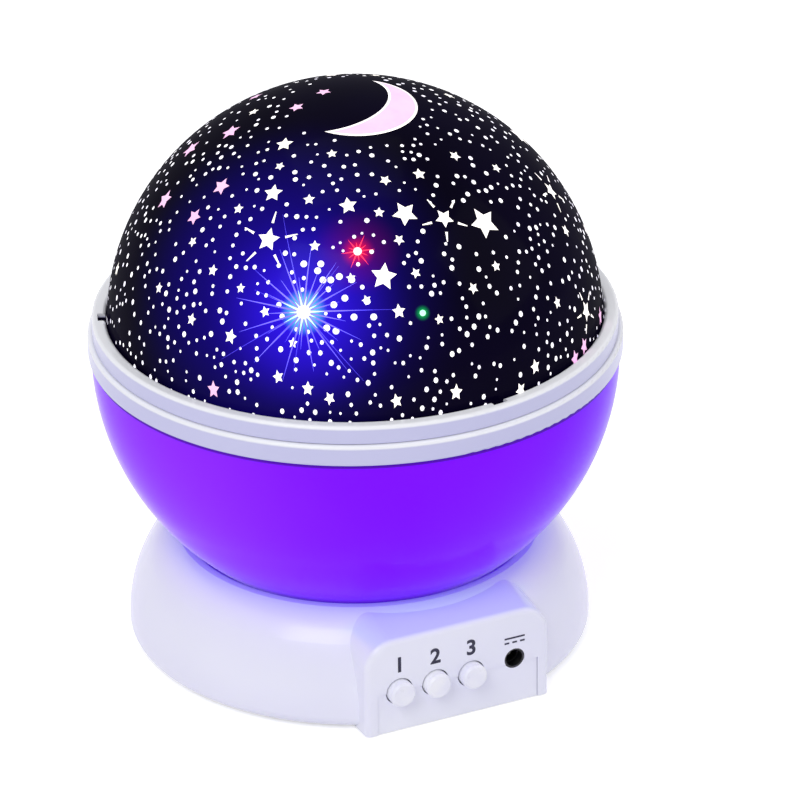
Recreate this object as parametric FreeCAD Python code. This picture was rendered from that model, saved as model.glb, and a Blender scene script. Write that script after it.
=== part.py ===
# Star night light projector, in millimetres.
# The origin is on the bowl's axis at the height of the surface it stands on.
# +Z is up and the control box faces -Y.
import FreeCAD, Part
import math
import os

Vec = FreeCAD.Vector
UP = Vec(0, 0, 1)
INWARD = Vec(0, 1, 0)

# Running and assembly clearances
RUN_GAP = 0.3
SEAT_GAP = 0.2
FIT_GAP = 0.15

# Battery cells, their bay and the door under it
CELL_R = 5.25
CELL_LENGTH = 44.5
CELL_COUNT = 4
CELL_SPACING = 0.7
CELL_NUB_R = 1.9
CELL_NUB_LENGTH = 0.9
CONTACT_THICKNESS = 0.4
CONTACT_SIDE_GAP = 0.6
CONTACT_TOP_GAP = 0.9
SPRING_ROOM = 4.75
SPRING_LOW_R = 3.4
SPRING_TIP_R = 1.8
BAY_MIDDLE_Y = 8.0
BAY_SIDE_ROOM = 0.6
BAY_WALL = 1.5
BAY_ROOF_THICKNESS = 1.2
DOOR_THICKNESS = 1.6
DOOR_CELL_GAP = 0.35
DOOR_SIDE_GAP = 0.6
DOOR_HINGE_FROM_END = 1.2
DOOR_KNUCKLE_R = 0.9
DOOR_PIN_R = 0.6
DOOR_PIN_LENGTH = 1.6
DOOR_PIN_ROOT = 1.0
DOOR_GRIP_HALF = 7.0
DOOR_GRIP_DEPTH = 4.0
DOOR_GRIP_FROM_FRONT = 2.0

# Base shell
SHELL_WALL = 1.8
FLOOR_THICKNESS = 1.8
DECK_THICKNESS = 2.0
SKIRT_BOTTOM = 0.8
SKIRT_BULGE_RISE = 2.4
SKIRT_TUCK = 1.5
SKIRT_LEAN = 4.7
SHOULDER_RUN = 7.0
SHOULDER_DROP = 6.0
RIM_ABOVE_DECK = 4.2
CUP_WALL = 1.7
CUP_GAP = 0.6

# Control box on the front of the base
BOX_SET_BACK = 1.3
BOX_BOTTOM = 0.1
BOX_WIDTH = 47.0
BOX_CORNER_R = 7.0
BOX_EDGE_R = 1.4
BOX_DEPTH = 17.0
BOX_TOP_RISE = 2.3
PANEL_SIDE_MARGIN = 3.0
PANEL_HEIGHT = 10.4
PANEL_SETBACK = 0.3
PANEL_LEDGE = 2.0

# Push buttons
BUTTON_X = (-15.0, -5.8, 3.4)
BUTTON_R = 3.1
BUTTON_PROTRUSION = 2.4
BUTTON_CHAMFER = 0.5
BUTTON_FLANGE_R = 4.1
BUTTON_FLANGE_THICKNESS = 1.0
BUTTON_TAIL_R = 1.86
BUTTON_TAIL = 1.2
PLUNGER_R = 1.3
PLUNGER_LENGTH = 5.2

# Upright circuit board and the switches behind the buttons
SWITCH_SIDE = 7.0
SWITCH_DEPTH = 4.4
SWITCH_BORE_DEPTH = 3.9
SWITCH_STANDOFF = 3.8
CONTROL_BOARD_THICKNESS = 1.6
CONTROL_BOARD_SIDE_GAP = 2.5
CONTROL_BOARD_END_GAP = 0.6

# Power jack for a 4.0 mm barrel plug
JACK_X = 14.6
JACK_Z = 11.6
JACK_NOSE_R = 2.6
JACK_MOUTH_R = 2.1
JACK_MOUTH_LENGTH = 2.5
JACK_BORE_R = 1.9
JACK_BORE_LENGTH = 6.5
JACK_PIN_R = 0.65
JACK_PIN_RECESS = 3.0
JACK_BODY_WIDTH = 8.6
JACK_BODY_HEIGHT = 10.0

# Feet and case screws
FOOT_R = 4.2
FOOT_INSET = 8.2
FOOT_ANGLES = (66, 114, 222, 318)
FOOT_SINK = 0.6
CASE_SCREW_INSET = 1.0
CASE_SCREW_ANGLES = (47, 133, 207, 333)
CASE_SCREW_R = 1.2
CASE_SCREW_LENGTH = 10.0
CASE_SCREW_HEAD_R = 2.4
CASE_SCREW_HEAD_H = 0.9
BOSS_R = 2.6

# Geared drive
MODULE = 0.8
PRESSURE_ANGLE = 25.0
ADDENDUM = 0.8
DEDENDUM = 1.05
BACKLASH = 0.2
BOWL_GEAR_TEETH = 60
UPPER_PINION_TEETH = 12
LOWER_WHEEL_TEETH = 34
MOTOR_PINION_TEETH = 10
UPPER_FACE = 2.2
LOWER_FACE = 2.1
GEAR_SIDE_GAP = 0.4
REDUCTION_ANGLE = 28.3
AXLE_R = 1.0
AXLE_BORE_GAP = 0.05
AXLE_BOSS_R = 2.6
AXLE_GRIP = 8.9
MOTOR_R = 12.0
MOTOR_EDGE_R = 0.8
MOTOR_ROOM = 4.4
MOTOR_SHAFT_R = 0.9
MOTOR_SHAFT_LIFT = 2.4
MOTOR_SHAFT_END = 0.6
MOTOR_WELL_LIFT = 2.0
MOTOR_BEARING_R = 2.4
BRACKET_THICKNESS = 1.0
BRACKET_GEAR_GAP = 0.7
BRACKET_COLLAR = 3.0
BRACKET_BAR_HALF = 3.0
MOTOR_SCREW_R = 0.8
MOTOR_SCREW_GRIP = 5.0
MOTOR_POST_R = 2.2
MOTOR_POST_GAP = 3.2
MOTOR_POST_ANGLES = (-62, 242)

# Bowl
BOWL_R = 61.8
BOWL_WALL = 1.8
BOWL_LIFT = 2.2
BOWL_FLOOR_THICKNESS = 2.0
BOWL_LIP_STEP = 1.2
BOWL_LIP_WALL = 1.6
HUB_WALL = 2.8
HUB_POST_GAP = 1.2
WASHER_WIDTH = 6.7
GEAR_SCREW_ANGLES = (30, 150, 270)
GEAR_SCREW_LENGTH = 5.0

# Ring on the bowl, with the bayonet track
RING_OVERHANG = 0.7
RING_HEIGHT = 5.1
RING_EDGE_R = 0.8
TRACK_LIP_WIDTH = 1.6
TRACK_LIP_THICKNESS = 1.5
LUG_DROP = 3.2
LUG_THICKNESS = 1.3
LUG_ANGLES = (158, 278, 38)
LUG_HALF_ANGLE = 6.0
SLOT_HALF_ANGLE = 7.5
TWIST = 20.0
STOP_ANGLE_GAP = 1.0
STOP_WIDTH_ANGLE = 2.0

# Star dome and its ring
DOME_STEP_IN = 3.8
DOME_WALL = 1.2
DOME_LIFT = 0.5
DOME_FLANGE_STEP = 2.5
DOME_FLANGE_THICKNESS = 1.2
COLLAR_WALL = 1.2
DOME_RING_STEP = 1.1
DOME_RING_HEIGHT = 4.2
DOME_RING_MOUTH_GAP = 0.1
DOME_RING_EDGE_R = 0.9
TAB_HALF_ANGLE = 1.8
TAB_HEIGHT = 3.2

# Lamp post and lamps
POST_FLANGE_R = 13.0
POST_FLANGE_THICKNESS = 1.2
POST_R = 8.0
POST_WALL = 1.5
POST_HEAD_R = 11.0
POST_HEAD_THICKNESS = 2.0
POST_GATE_HEIGHT = 3.0
POST_SCREW_EDGE = 2.4
POST_SCREW_ANGLES = (90, 210, 330)
LED_BOARD_DROP = 1.1
LED_BOARD_R = 24.0
LED_BOARD_THICKNESS = 1.6
BOARD_SCREW_ANGLES = (0, 120, 240)
BOARD_SCREW_EDGE = 1.8
SMALL_SCREW_R = 0.8
SMALL_HEAD_R = 1.6
SMALL_HEAD_H = 1.0
LED_R = 2.5
LED_FLANGE_R = 2.9
LED_FLANGE_H = 1.0
LED_HEIGHT = 8.6
LED_LEG_R = 0.25
LED_LEG_PITCH = 2.54
LED_LEG_BELOW = 1.6
LED_PLACES = {
    "led_white": (0.0, 0.0),
    "led_blue": (-14.7, -4.1),
    "led_green": (11.0, -16.3),
    "led_red": (10.0, 17.3),
}

# Leads inside the case
LEAD_R = 0.55
LEAD_RUN = 8.0
BATTERY_LEAD_START_X = -14.0
BATTERY_LEAD_END_X = -10.0
MOTOR_LEAD_X = 18.0
MOTOR_LEAD_CORNER_X = 27.0
MOTOR_LEAD_ANGLE = -98
LAMP_LEAD_BEND_X = 0.6
LAMP_LEAD_SAG = 1.4
LAMP_LEAD_WALL_GAP = 1.3
LAMP_LEAD_TURN = 7.0
LAMP_LEAD_SLACK_TOP = 26.0

# Radial sizes that follow from the cells and the motor
CELL_PITCH = 2 * CELL_R + CELL_SPACING
BAY_HALF_WIDTH = CELL_COUNT * CELL_PITCH / 2 + BAY_SIDE_ROOM
BAY_FRONT_Y = BAY_MIDDLE_Y - CELL_LENGTH / 2 - SPRING_ROOM
BAY_REAR_Y = BAY_MIDDLE_Y + CELL_LENGTH / 2 + SPRING_ROOM
CELL_FRONT_Y = BAY_MIDDLE_Y - CELL_LENGTH / 2
DOOR_HALF_WIDTH = BAY_HALF_WIDTH - DOOR_SIDE_GAP
DOOR_FRONT_Y = BAY_FRONT_Y + RUN_GAP
DOOR_HINGE_Y = BAY_REAR_Y - DOOR_HINGE_FROM_END
MOTOR_X = BAY_HALF_WIDTH + BAY_WALL + MOTOR_R
SKIRT_WIDEST_R = MOTOR_X + MOTOR_R + MOTOR_ROOM + SHELL_WALL
SKIRT_BOTTOM_R = SKIRT_WIDEST_R - SKIRT_TUCK
SHOULDER_R = SKIRT_WIDEST_R - SKIRT_LEAN
RIM_R = SHOULDER_R - SHOULDER_RUN
CUP_R = RIM_R - CUP_WALL
FOOT_CIRCLE_R = SKIRT_WIDEST_R - FOOT_INSET
CASE_SCREW_CIRCLE_R = RIM_R - CASE_SCREW_INSET

# Heights in the base, from the door up through the cells and gears to the rim
DOOR_HINGE_Z = SKIRT_BOTTOM + DOOR_KNUCKLE_R
FLOOR_TOP = SKIRT_BOTTOM + FLOOR_THICKNESS
CELL_Z = SKIRT_BOTTOM + DOOR_THICKNESS + DOOR_CELL_GAP + CELL_R
BAY_ROOF_LOW = CELL_Z + CELL_R + FIT_GAP
BAY_ROOF_HIGH = BAY_ROOF_LOW + BAY_ROOF_THICKNESS
POST_FLANGE_TOP = BAY_ROOF_HIGH + POST_FLANGE_THICKNESS
LOWER_LEVEL = BAY_ROOF_HIGH + RUN_GAP
UPPER_LEVEL = LOWER_LEVEL + LOWER_FACE + GEAR_SIDE_GAP
GEAR_TOP = UPPER_LEVEL + UPPER_FACE
DECK_LOW = GEAR_TOP + GEAR_SIDE_GAP
DECK_TOP = DECK_LOW + DECK_THICKNESS
RIM_Z = DECK_TOP + RIM_ABOVE_DECK
SHOULDER_Z = RIM_Z - SHOULDER_DROP
SKIRT_WIDEST_Z = SKIRT_BOTTOM + SKIRT_BULGE_RISE
AXLE_ROOT = LOWER_LEVEL - AXLE_GRIP
MOTOR_LOW = FLOOR_TOP
MOTOR_HIGH = LOWER_LEVEL - BRACKET_GEAR_GAP - BRACKET_THICKNESS
MOTOR_POST_REACH = MOTOR_R + MOTOR_POST_GAP
BOX_HEIGHT = RIM_Z - BOX_TOP_RISE
CONTROL_BOARD_LOW = FLOOR_TOP + CONTROL_BOARD_END_GAP
CONTROL_BOARD_HIGH = DECK_LOW - CONTROL_BOARD_END_GAP

# Depths behind the control box's front
BOX_FRONT_Y = BOX_SET_BACK - SKIRT_WIDEST_R
PANEL_WIDTH = BOX_WIDTH - 2 * PANEL_SIDE_MARGIN
PANEL_FRONT_Y = BOX_FRONT_Y + PANEL_SETBACK
BOX_INSIDE_Y = BOX_FRONT_Y + SHELL_WALL
PANEL_INSIDE_Y = PANEL_FRONT_Y + SHELL_WALL
BUTTON_HOLE_R = BUTTON_R + RUN_GAP
BUTTON_FRONT_Y = BOX_FRONT_Y - BUTTON_PROTRUSION
BUTTON_FLANGE_Y = PANEL_INSIDE_Y + RUN_GAP
BUTTON_BACK_Y = BUTTON_FLANGE_Y + BUTTON_FLANGE_THICKNESS + BUTTON_TAIL
SWITCH_FRONT_Y = BUTTON_BACK_Y + SWITCH_STANDOFF
CONTROL_BOARD_Y = SWITCH_FRONT_Y + SWITCH_DEPTH
CONTROL_BOARD_HALF = BOX_WIDTH / 2 - CONTROL_BOARD_SIDE_GAP
BOARD_BACK_Y = CONTROL_BOARD_Y + CONTROL_BOARD_THICKNESS

# The bowl rests where its ball meets the cup, and the rings and dome follow it
BOWL_CENTRE_Z = RIM_Z + math.sqrt(BOWL_R ** 2 - (CUP_R - CUP_GAP) ** 2)
BOWL_FLOOR_Z = DECK_TOP + BOWL_LIFT
BOWL_LIP_R = BOWL_R - BOWL_LIP_STEP
BOWL_BORE_R = BOWL_LIP_R - BOWL_LIP_WALL
POST_BORE_R = POST_R - POST_WALL
HUB_BORE_R = POST_R + HUB_POST_GAP
HUB_R = HUB_BORE_R + HUB_WALL
WASHER_R = HUB_R + RUN_GAP + WASHER_WIDTH
GEAR_SCREW_CIRCLE_R = (HUB_R + HUB_BORE_R) / 2
RING_R = BOWL_R + RING_OVERHANG
RING_TOP = BOWL_CENTRE_Z + RING_HEIGHT
RING_LIP_LOW = RING_TOP - TRACK_LIP_THICKNESS
TRACK_LIP_R = BOWL_BORE_R - TRACK_LIP_WIDTH
LUG_R = BOWL_BORE_R - RUN_GAP
LUG_LOW = RING_TOP - LUG_DROP
DOME_R = BOWL_R - DOME_STEP_IN
DOME_CENTRE_Z = RING_TOP + DOME_LIFT
DOME_SEAT_Z = RING_TOP + SEAT_GAP
DOME_FLANGE_R = RING_R - DOME_FLANGE_STEP
DOME_RING_R = RING_R - DOME_RING_STEP
DOME_RING_TOP = DOME_SEAT_Z + DOME_RING_HEIGHT
DOME_RING_MOUTH_R = DOME_R + DOME_RING_MOUTH_GAP
COLLAR_R = TRACK_LIP_R - RUN_GAP
POST_SCREW_CIRCLE_R = POST_FLANGE_R - POST_SCREW_EDGE
BOARD_SCREW_CIRCLE_R = POST_HEAD_R - BOARD_SCREW_EDGE
POST_TOP = RING_TOP - LED_BOARD_DROP
LED_BOARD_TOP = POST_TOP + LED_BOARD_THICKNESS

# Gear centres
UPPER_DISTANCE = MODULE * (BOWL_GEAR_TEETH + UPPER_PINION_TEETH) / 2
LOWER_DISTANCE = MODULE * (LOWER_WHEEL_TEETH + MOTOR_PINION_TEETH) / 2
REDUCTION_X = UPPER_DISTANCE * math.cos(math.radians(REDUCTION_ANGLE))
REDUCTION_Y = UPPER_DISTANCE * math.sin(math.radians(REDUCTION_ANGLE))
MOTOR_Y = REDUCTION_Y - math.sqrt(LOWER_DISTANCE ** 2 - (MOTOR_X - REDUCTION_X) ** 2)
MOTOR_ANGLE = math.degrees(math.atan2(MOTOR_Y - REDUCTION_Y, MOTOR_X - REDUCTION_X))

# Small helpers


def cylinder(radius, low, high, x=0.0, y=0.0):
    return Part.makeCylinder(radius, high - low, Vec(x, y, low))


def tube(outer, inner, low, high, x=0.0, y=0.0):
    return cylinder(outer, low, high, x, y).cut(cylinder(inner, low, high, x, y))


def bar(radius, front_y, back_y, x, z):
    return Part.makeCylinder(radius, back_y - front_y, Vec(x, front_y, z), INWARD)


def block(x0, x1, y0, y1, z0, z1):
    return Part.makeBox(x1 - x0, y1 - y0, z1 - z0, Vec(x0, y0, z0))


def polar(radius, angle):
    a = math.radians(angle)
    return radius * math.cos(a), radius * math.sin(a)


def join(solids):
    solids = list(solids)
    result = solids[0]
    for solid in solids[1:]:
        result = result.fuse(solid)
    return result.removeSplitter()


def revolve(edges):
    face = Part.Face(Part.Wire(edges))
    return face.revolve(Vec(0, 0, 0), UP, 360)


def line(a, b):
    return Part.LineSegment(Vec(a[0], 0, a[1]), Vec(b[0], 0, b[1])).toShape()


def outline(points):
    return [line(points[i], points[(i + 1) % len(points)]) for i in range(len(points))]


def lathe(points):
    return revolve(outline(points))


def tangent_arc(start, heading, end):
    """An arc from start, leaving at heading, to end, and its heading there."""
    dx, dz = end[0] - start[0], end[1] - start[1]
    chord = math.hypot(dx, dz)
    bend = math.atan2(dz, dx) - heading
    radius = chord / (2 * math.sin(bend))
    sagitta = radius * (1 - math.cos(bend))
    middle = ((start[0] + end[0]) / 2 + sagitta * dz / chord,
              (start[1] + end[1]) / 2 - sagitta * dx / chord)
    points = [Vec(p[0], 0, p[1]) for p in (start, middle, end)]
    return Part.Arc(*points).toBSpline().toShape(), heading + 2 * bend


def sector(radius, low, high, middle_angle, half_angle):
    """A pie slice about the axis."""
    slice_ = Part.makeCylinder(radius, high - low, Vec(0, 0, low), UP, 2 * half_angle)
    slice_.rotate(Vec(0, 0, 0), UP, middle_angle - half_angle)
    return slice_


def ring_sector(outer, inner, low, high, middle_angle, half_angle):
    return sector(outer, low, high, middle_angle, half_angle).cut(cylinder(inner, low, high))


def screw(x, y, head_low, head_r, head_h, shaft_r, length):
    """A screw pointing up, its head at the bottom, with a cross slot."""
    head = cylinder(head_r, head_low, head_low + head_h, x, y)
    shaft = cylinder(shaft_r, head_low + head_h, head_low + head_h + length, x, y)
    arm, deep, wide = head_r * 0.6, head_h * 0.5, head_r * 0.12
    cross = block(x - arm, x + arm, y - wide, y + wide, head_low, head_low + deep).fuse(
        block(x - wide, x + wide, y - arm, y + arm, head_low, head_low + deep))
    return head.fuse(shaft).cut(cross).removeSplitter()


def turned_over(shape, z):
    shape.rotate(Vec(0, 0, z), Vec(1, 0, 0), 180)
    return shape


def small_screw_down(x, y, seat_z, length):
    """A small screw pointing down, its head resting on seat_z."""
    upright = screw(x, -y, seat_z - SMALL_HEAD_H, SMALL_HEAD_R, SMALL_HEAD_H, SMALL_SCREW_R, length)
    return turned_over(upright, seat_z)


def lead(points):
    """A round lead along straight runs joined by tangent arcs."""
    points = [Vec(*p) for p in points]
    edges = []
    here = points[0]
    for before, corner, after in zip(points, points[1:], points[2:]):
        run_in, run_out = corner - before, after - corner
        shorter = min(run_in.Length, run_out.Length)
        cut = 0.45 * shorter
        turn = run_in.getAngle(run_out)
        start = corner - run_in.normalize() * cut
        end = corner + run_out.normalize() * cut
        inward = (run_out - run_in).normalize()
        radius = cut / math.tan(turn / 2)
        middle = corner + inward * (radius / math.cos(turn / 2) - radius)
        edges.append(Part.LineSegment(here, start).toShape())
        edges.append(Part.Arc(start, middle, end).toShape())
        here = end
    edges.append(Part.LineSegment(here, points[-1]).toShape())
    path = Part.Wire(edges)
    circle = Part.Wire(Part.Circle(points[0], points[1] - points[0], LEAD_R).toShape())
    return path.makePipeShell([circle], True, False)


def involute_point(base_r, radius, offset):
    """A point on an involute flank at a radius, turned by offset."""
    pressure = math.acos(min(1.0, base_r / radius))
    turn = offset + math.tan(pressure) - pressure
    return radius, turn


def gear(teeth, low, face_width, bore_r, x, y, tooth_angle):
    """A spur gear with involute flanks and a tooth centred on tooth_angle."""
    pitch_r = MODULE * teeth / 2
    base_r = pitch_r * math.cos(math.radians(PRESSURE_ANGLE))
    tip_r = pitch_r + ADDENDUM * MODULE
    root_r = pitch_r - DEDENDUM * MODULE
    a = math.radians(PRESSURE_ANGLE)
    half_tooth = (math.pi / teeth) / 2 - BACKLASH / (4 * pitch_r) + math.tan(a) - a
    low_r = max(base_r, root_r)
    radii = (low_r, (low_r + tip_r) / 2, tip_r)
    flank = [involute_point(base_r, r, -half_tooth) for r in radii]

    def spot(radius, turn):
        return Vec(x + radius * math.cos(turn), y + radius * math.sin(turn), low)

    edges = []
    step = 2 * math.pi / teeth
    for i in range(teeth):
        middle = math.radians(tooth_angle) + i * step
        rise = [spot(r, middle + t) for r, t in flank]
        fall = [spot(r, middle - t) for r, t in reversed(flank)]
        next_foot = spot(flank[0][0], middle + step + flank[0][1])
        root_in = spot(root_r, middle - flank[0][1])
        root_out = spot(root_r, middle + step + flank[0][1])
        root_mid = spot(root_r, middle + step / 2)
        edges.append(Part.Arc(*rise).toShape())
        edges.append(Part.Arc(rise[2], spot(tip_r, middle), fall[0]).toShape())
        edges.append(Part.Arc(*fall).toShape())
        if low_r > root_r + 0.01:
            edges.append(Part.LineSegment(fall[2], root_in).toShape())
            edges.append(Part.Arc(root_in, root_mid, root_out).toShape())
            edges.append(Part.LineSegment(root_out, next_foot).toShape())
        else:
            edges.append(Part.Arc(fall[2], root_mid, next_foot).toShape())
    blank = Part.Face(Part.Wire(edges)).extrude(Vec(0, 0, face_width))
    return blank.cut(cylinder(bore_r, low, low + face_width, x, y))


# Base shell: skirt, shoulder, cup for the bowl and control box


def skirt_solid(inset):
    """The turned body of the base, with its outline drawn in by inset."""
    low = SKIRT_BOTTOM
    bottom = (SKIRT_BOTTOM_R - inset, low)
    widest = (SKIRT_WIDEST_R - inset, SKIRT_WIDEST_Z)
    shoulder = (SHOULDER_R - inset * 0.8, SHOULDER_Z - inset * 0.6)
    rim = (RIM_R, RIM_Z - inset)
    round_up, _ = tangent_arc(widest, -math.pi / 2, bottom)
    side, heading = tangent_arc(widest, math.pi / 2, shoulder)
    cap, _ = tangent_arc(shoulder, heading, rim)
    edges = [line((0, low), bottom), round_up, side, cap, line(rim, (0, rim[1])),
             line((0, rim[1]), (0, low))]
    return revolve(edges)


def box_solid(inset):
    """The control box, run back under the shoulder, drawn in by inset."""
    half = BOX_WIDTH / 2 - inset
    top = BOX_HEIGHT - inset
    corner = BOX_CORNER_R - inset
    low = BOX_BOTTOM - BOX_TOP_RISE - 1
    y = BOX_FRONT_Y + inset
    slant = corner * (1 - math.sqrt(0.5))
    corners = [Vec(-half, y, low), Vec(-half, y, top - corner), Vec(-half + slant, y, top - slant),
               Vec(-half + corner, y, top), Vec(half - corner, y, top),
               Vec(half - slant, y, top - slant), Vec(half, y, top - corner), Vec(half, y, low)]
    edges = [
        Part.LineSegment(corners[0], corners[1]).toShape(),
        Part.Arc(corners[1], corners[2], corners[3]).toShape(),
        Part.LineSegment(corners[3], corners[4]).toShape(),
        Part.Arc(corners[4], corners[5], corners[6]).toShape(),
        Part.LineSegment(corners[6], corners[7]).toShape(),
        Part.LineSegment(corners[7], corners[0]).toShape(),
    ]
    solid = Part.Face(Part.Wire(edges)).extrude(Vec(0, BOX_DEPTH - inset, BOX_TOP_RISE))
    if inset == 0:
        front = [e for e in solid.Edges if max(abs(v.Y - y) for v in e.Vertexes) < 0.01]
        solid = solid.makeFillet(BOX_EDGE_R, [e for e in front if e.BoundBox.ZMax > SKIRT_BOTTOM + 1])
    below = block(-BOX_WIDTH, BOX_WIDTH, y - 1, y + BOX_DEPTH + 1, low - 1, BOX_BOTTOM)
    return solid.cut(below)


def case_screw_places():
    return [polar(CASE_SCREW_CIRCLE_R, a) for a in CASE_SCREW_ANGLES]


def panel_cut(gap, front_y):
    """The opening in the front wall that the cover's upright panel fills."""
    half = PANEL_WIDTH / 2 + gap
    return block(-half, half, front_y, BOX_INSIDE_Y + PANEL_LEDGE, BOX_BOTTOM - 1, PANEL_HEIGHT + gap / 2)


def button_holes():
    bores = [bar(BUTTON_HOLE_R, BOX_FRONT_Y - 1, PANEL_INSIDE_Y + 1, x, PANEL_HEIGHT) for x in BUTTON_X]
    bores.append(bar(JACK_NOSE_R, BOX_FRONT_Y - 1, PANEL_INSIDE_Y + 1, JACK_X, JACK_Z))
    return bores


def base_shell():
    before_box = block(-BOX_WIDTH / 2, BOX_WIDTH / 2, -SKIRT_WIDEST_R - 1, BOX_FRONT_Y, 0, RIM_Z)
    outer = skirt_solid(0).cut(before_box).fuse(box_solid(0))
    core = cylinder(CUP_R + SHELL_WALL, DECK_LOW, RIM_Z + 1)
    hollow = skirt_solid(SHELL_WALL).fuse(box_solid(SHELL_WALL)).cut(core)
    shell = outer.cut(hollow)
    shell = shell.cut(cylinder(CUP_R, DECK_TOP, RIM_Z + BOX_TOP_RISE))
    shell = shell.cut(cylinder(HUB_R + RUN_GAP, DECK_LOW - 1, DECK_TOP + 1))
    shell = shell.cut(panel_cut(FIT_GAP, BOX_FRONT_Y - 1))
    for bore in button_holes():
        shell = shell.cut(bore)
    for x, y in case_screw_places():
        post = tube(BOSS_R, CASE_SCREW_R, FLOOR_TOP, DECK_TOP - DECK_THICKNESS / 2, x, y)
        shell = shell.fuse(post)
    return shell.removeSplitter()


# Base cover: floor, battery bay and the upright front panel


def floor_plate():
    inset = SHELL_WALL + FIT_GAP
    footprint = skirt_solid(inset).fuse(box_solid(inset))
    reach = BOX_WIDTH + BOX_DEPTH + SKIRT_WIDEST_R
    return footprint.common(block(-reach, reach, -reach, reach, SKIRT_BOTTOM, FLOOR_TOP))


def base_cover():
    half = PANEL_WIDTH / 2
    panel = block(-half, half, PANEL_FRONT_Y, PANEL_INSIDE_Y, BOX_BOTTOM, PANEL_HEIGHT)
    seat = block(-half, half, PANEL_INSIDE_Y - SHELL_WALL / 2, PANEL_INSIDE_Y + PANEL_LEDGE, SKIRT_BOTTOM, FLOOR_TOP)
    bay_half = BAY_HALF_WIDTH + BAY_WALL
    bay = block(-bay_half, bay_half, BAY_FRONT_Y - BAY_WALL, BAY_REAR_Y + BAY_WALL, SKIRT_BOTTOM, BAY_ROOF_HIGH)
    cover = join([floor_plate(), panel, seat, bay])
    cover = cover.fuse(cylinder(AXLE_BOSS_R, FLOOR_TOP - 1, LOWER_LEVEL - RUN_GAP, REDUCTION_X, REDUCTION_Y))
    for x, y in motor_post_places():
        cover = cover.fuse(cylinder(MOTOR_POST_R, FLOOR_TOP - 1, MOTOR_HIGH, x, y))
    cover = cover.cut(block(-BAY_HALF_WIDTH, BAY_HALF_WIDTH, BAY_FRONT_Y, BAY_REAR_Y, SKIRT_BOTTOM - 1,
                            BAY_ROOF_LOW))
    cover = cover.cut(cylinder(AXLE_R, AXLE_ROOT, LOWER_LEVEL, REDUCTION_X, REDUCTION_Y))
    for x, y in motor_post_places():
        cover = cover.cut(cylinder(MOTOR_SCREW_R, MOTOR_HIGH - MOTOR_SCREW_GRIP, MOTOR_HIGH, x, y))
    for x, y in foot_places():
        cover = cover.cut(cylinder(FOOT_R, SKIRT_BOTTOM - 1, SKIRT_BOTTOM + FOOT_SINK, x, y))
    for x, y in case_screw_places():
        cover = cover.cut(cylinder(CASE_SCREW_R + FIT_GAP, SKIRT_BOTTOM - 1, FLOOR_TOP + 1, x, y))
        cover = cover.cut(cylinder(CASE_SCREW_HEAD_R + FIT_GAP, SKIRT_BOTTOM - 1,
                                   SKIRT_BOTTOM + CASE_SCREW_HEAD_H, x, y))
    for x, y in post_screw_places():
        cover = cover.cut(cylinder(SMALL_SCREW_R, BAY_ROOF_LOW - 1, BAY_ROOF_HIGH + 1, x, y))
    for side in (-1, 1):
        hole = Part.makeCylinder(DOOR_PIN_R + RUN_GAP / 3, DOOR_PIN_LENGTH + RUN_GAP,
                                 Vec(side * BAY_HALF_WIDTH, DOOR_HINGE_Y, DOOR_HINGE_Z), Vec(side, 0, 0))
        cover = cover.cut(hole)
    for bore in button_holes():
        cover = cover.cut(bore)
    return cover.removeSplitter()


def foot_places():
    return [polar(FOOT_CIRCLE_R, a) for a in FOOT_ANGLES]


def rubber_feet():
    return [cylinder(FOOT_R, 0, SKIRT_BOTTOM + FOOT_SINK, x, y) for x, y in foot_places()]


def case_screws():
    return [screw(x, y, SKIRT_BOTTOM, CASE_SCREW_HEAD_R, CASE_SCREW_HEAD_H, CASE_SCREW_R, CASE_SCREW_LENGTH)
            for x, y in case_screw_places()]


# Batteries, their contacts and the door


def cell_x(index):
    return (index - (CELL_COUNT - 1) / 2) * CELL_PITCH


def nub_faces_rear(index):
    return index % 2 == 0


def battery_cell(index):
    x = cell_x(index)
    body_front = CELL_FRONT_Y
    body_rear = CELL_FRONT_Y + CELL_LENGTH
    if nub_faces_rear(index):
        body_rear -= CELL_NUB_LENGTH
        nub = bar(CELL_NUB_R, body_rear, body_rear + CELL_NUB_LENGTH, x, CELL_Z)
    else:
        body_front += CELL_NUB_LENGTH
        nub = bar(CELL_NUB_R, body_front - CELL_NUB_LENGTH, body_front, x, CELL_Z)
    return bar(CELL_R, body_front, body_rear, x, CELL_Z).fuse(nub).removeSplitter()


def contact_plates():
    half_w, half_h = CELL_R - CONTACT_SIDE_GAP, CELL_R - CONTACT_TOP_GAP
    plates = []
    for i in range(CELL_COUNT):
        x = cell_x(i)
        for y in (BAY_FRONT_Y, BAY_REAR_Y - CONTACT_THICKNESS):
            plates.append(block(x - half_w, x + half_w, y, y + CONTACT_THICKNESS, CELL_Z - half_h, CELL_Z + half_h))
    return plates


def contact_springs():
    """Each cell is pressed from both ends; the coils are plain cones here."""
    springs = []
    front_y = BAY_FRONT_Y + CONTACT_THICKNESS
    front_length = CELL_FRONT_Y - front_y
    rear_y = BAY_REAR_Y - CONTACT_THICKNESS
    rear_length = rear_y - (CELL_FRONT_Y + CELL_LENGTH)
    for i in range(CELL_COUNT):
        x = cell_x(i)
        springs.append(Part.makeCone(SPRING_LOW_R, SPRING_TIP_R, front_length, Vec(x, front_y, CELL_Z), INWARD))
        springs.append(Part.makeCone(SPRING_LOW_R, SPRING_TIP_R, rear_length, Vec(x, rear_y, CELL_Z), -INWARD))
    return springs


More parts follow.
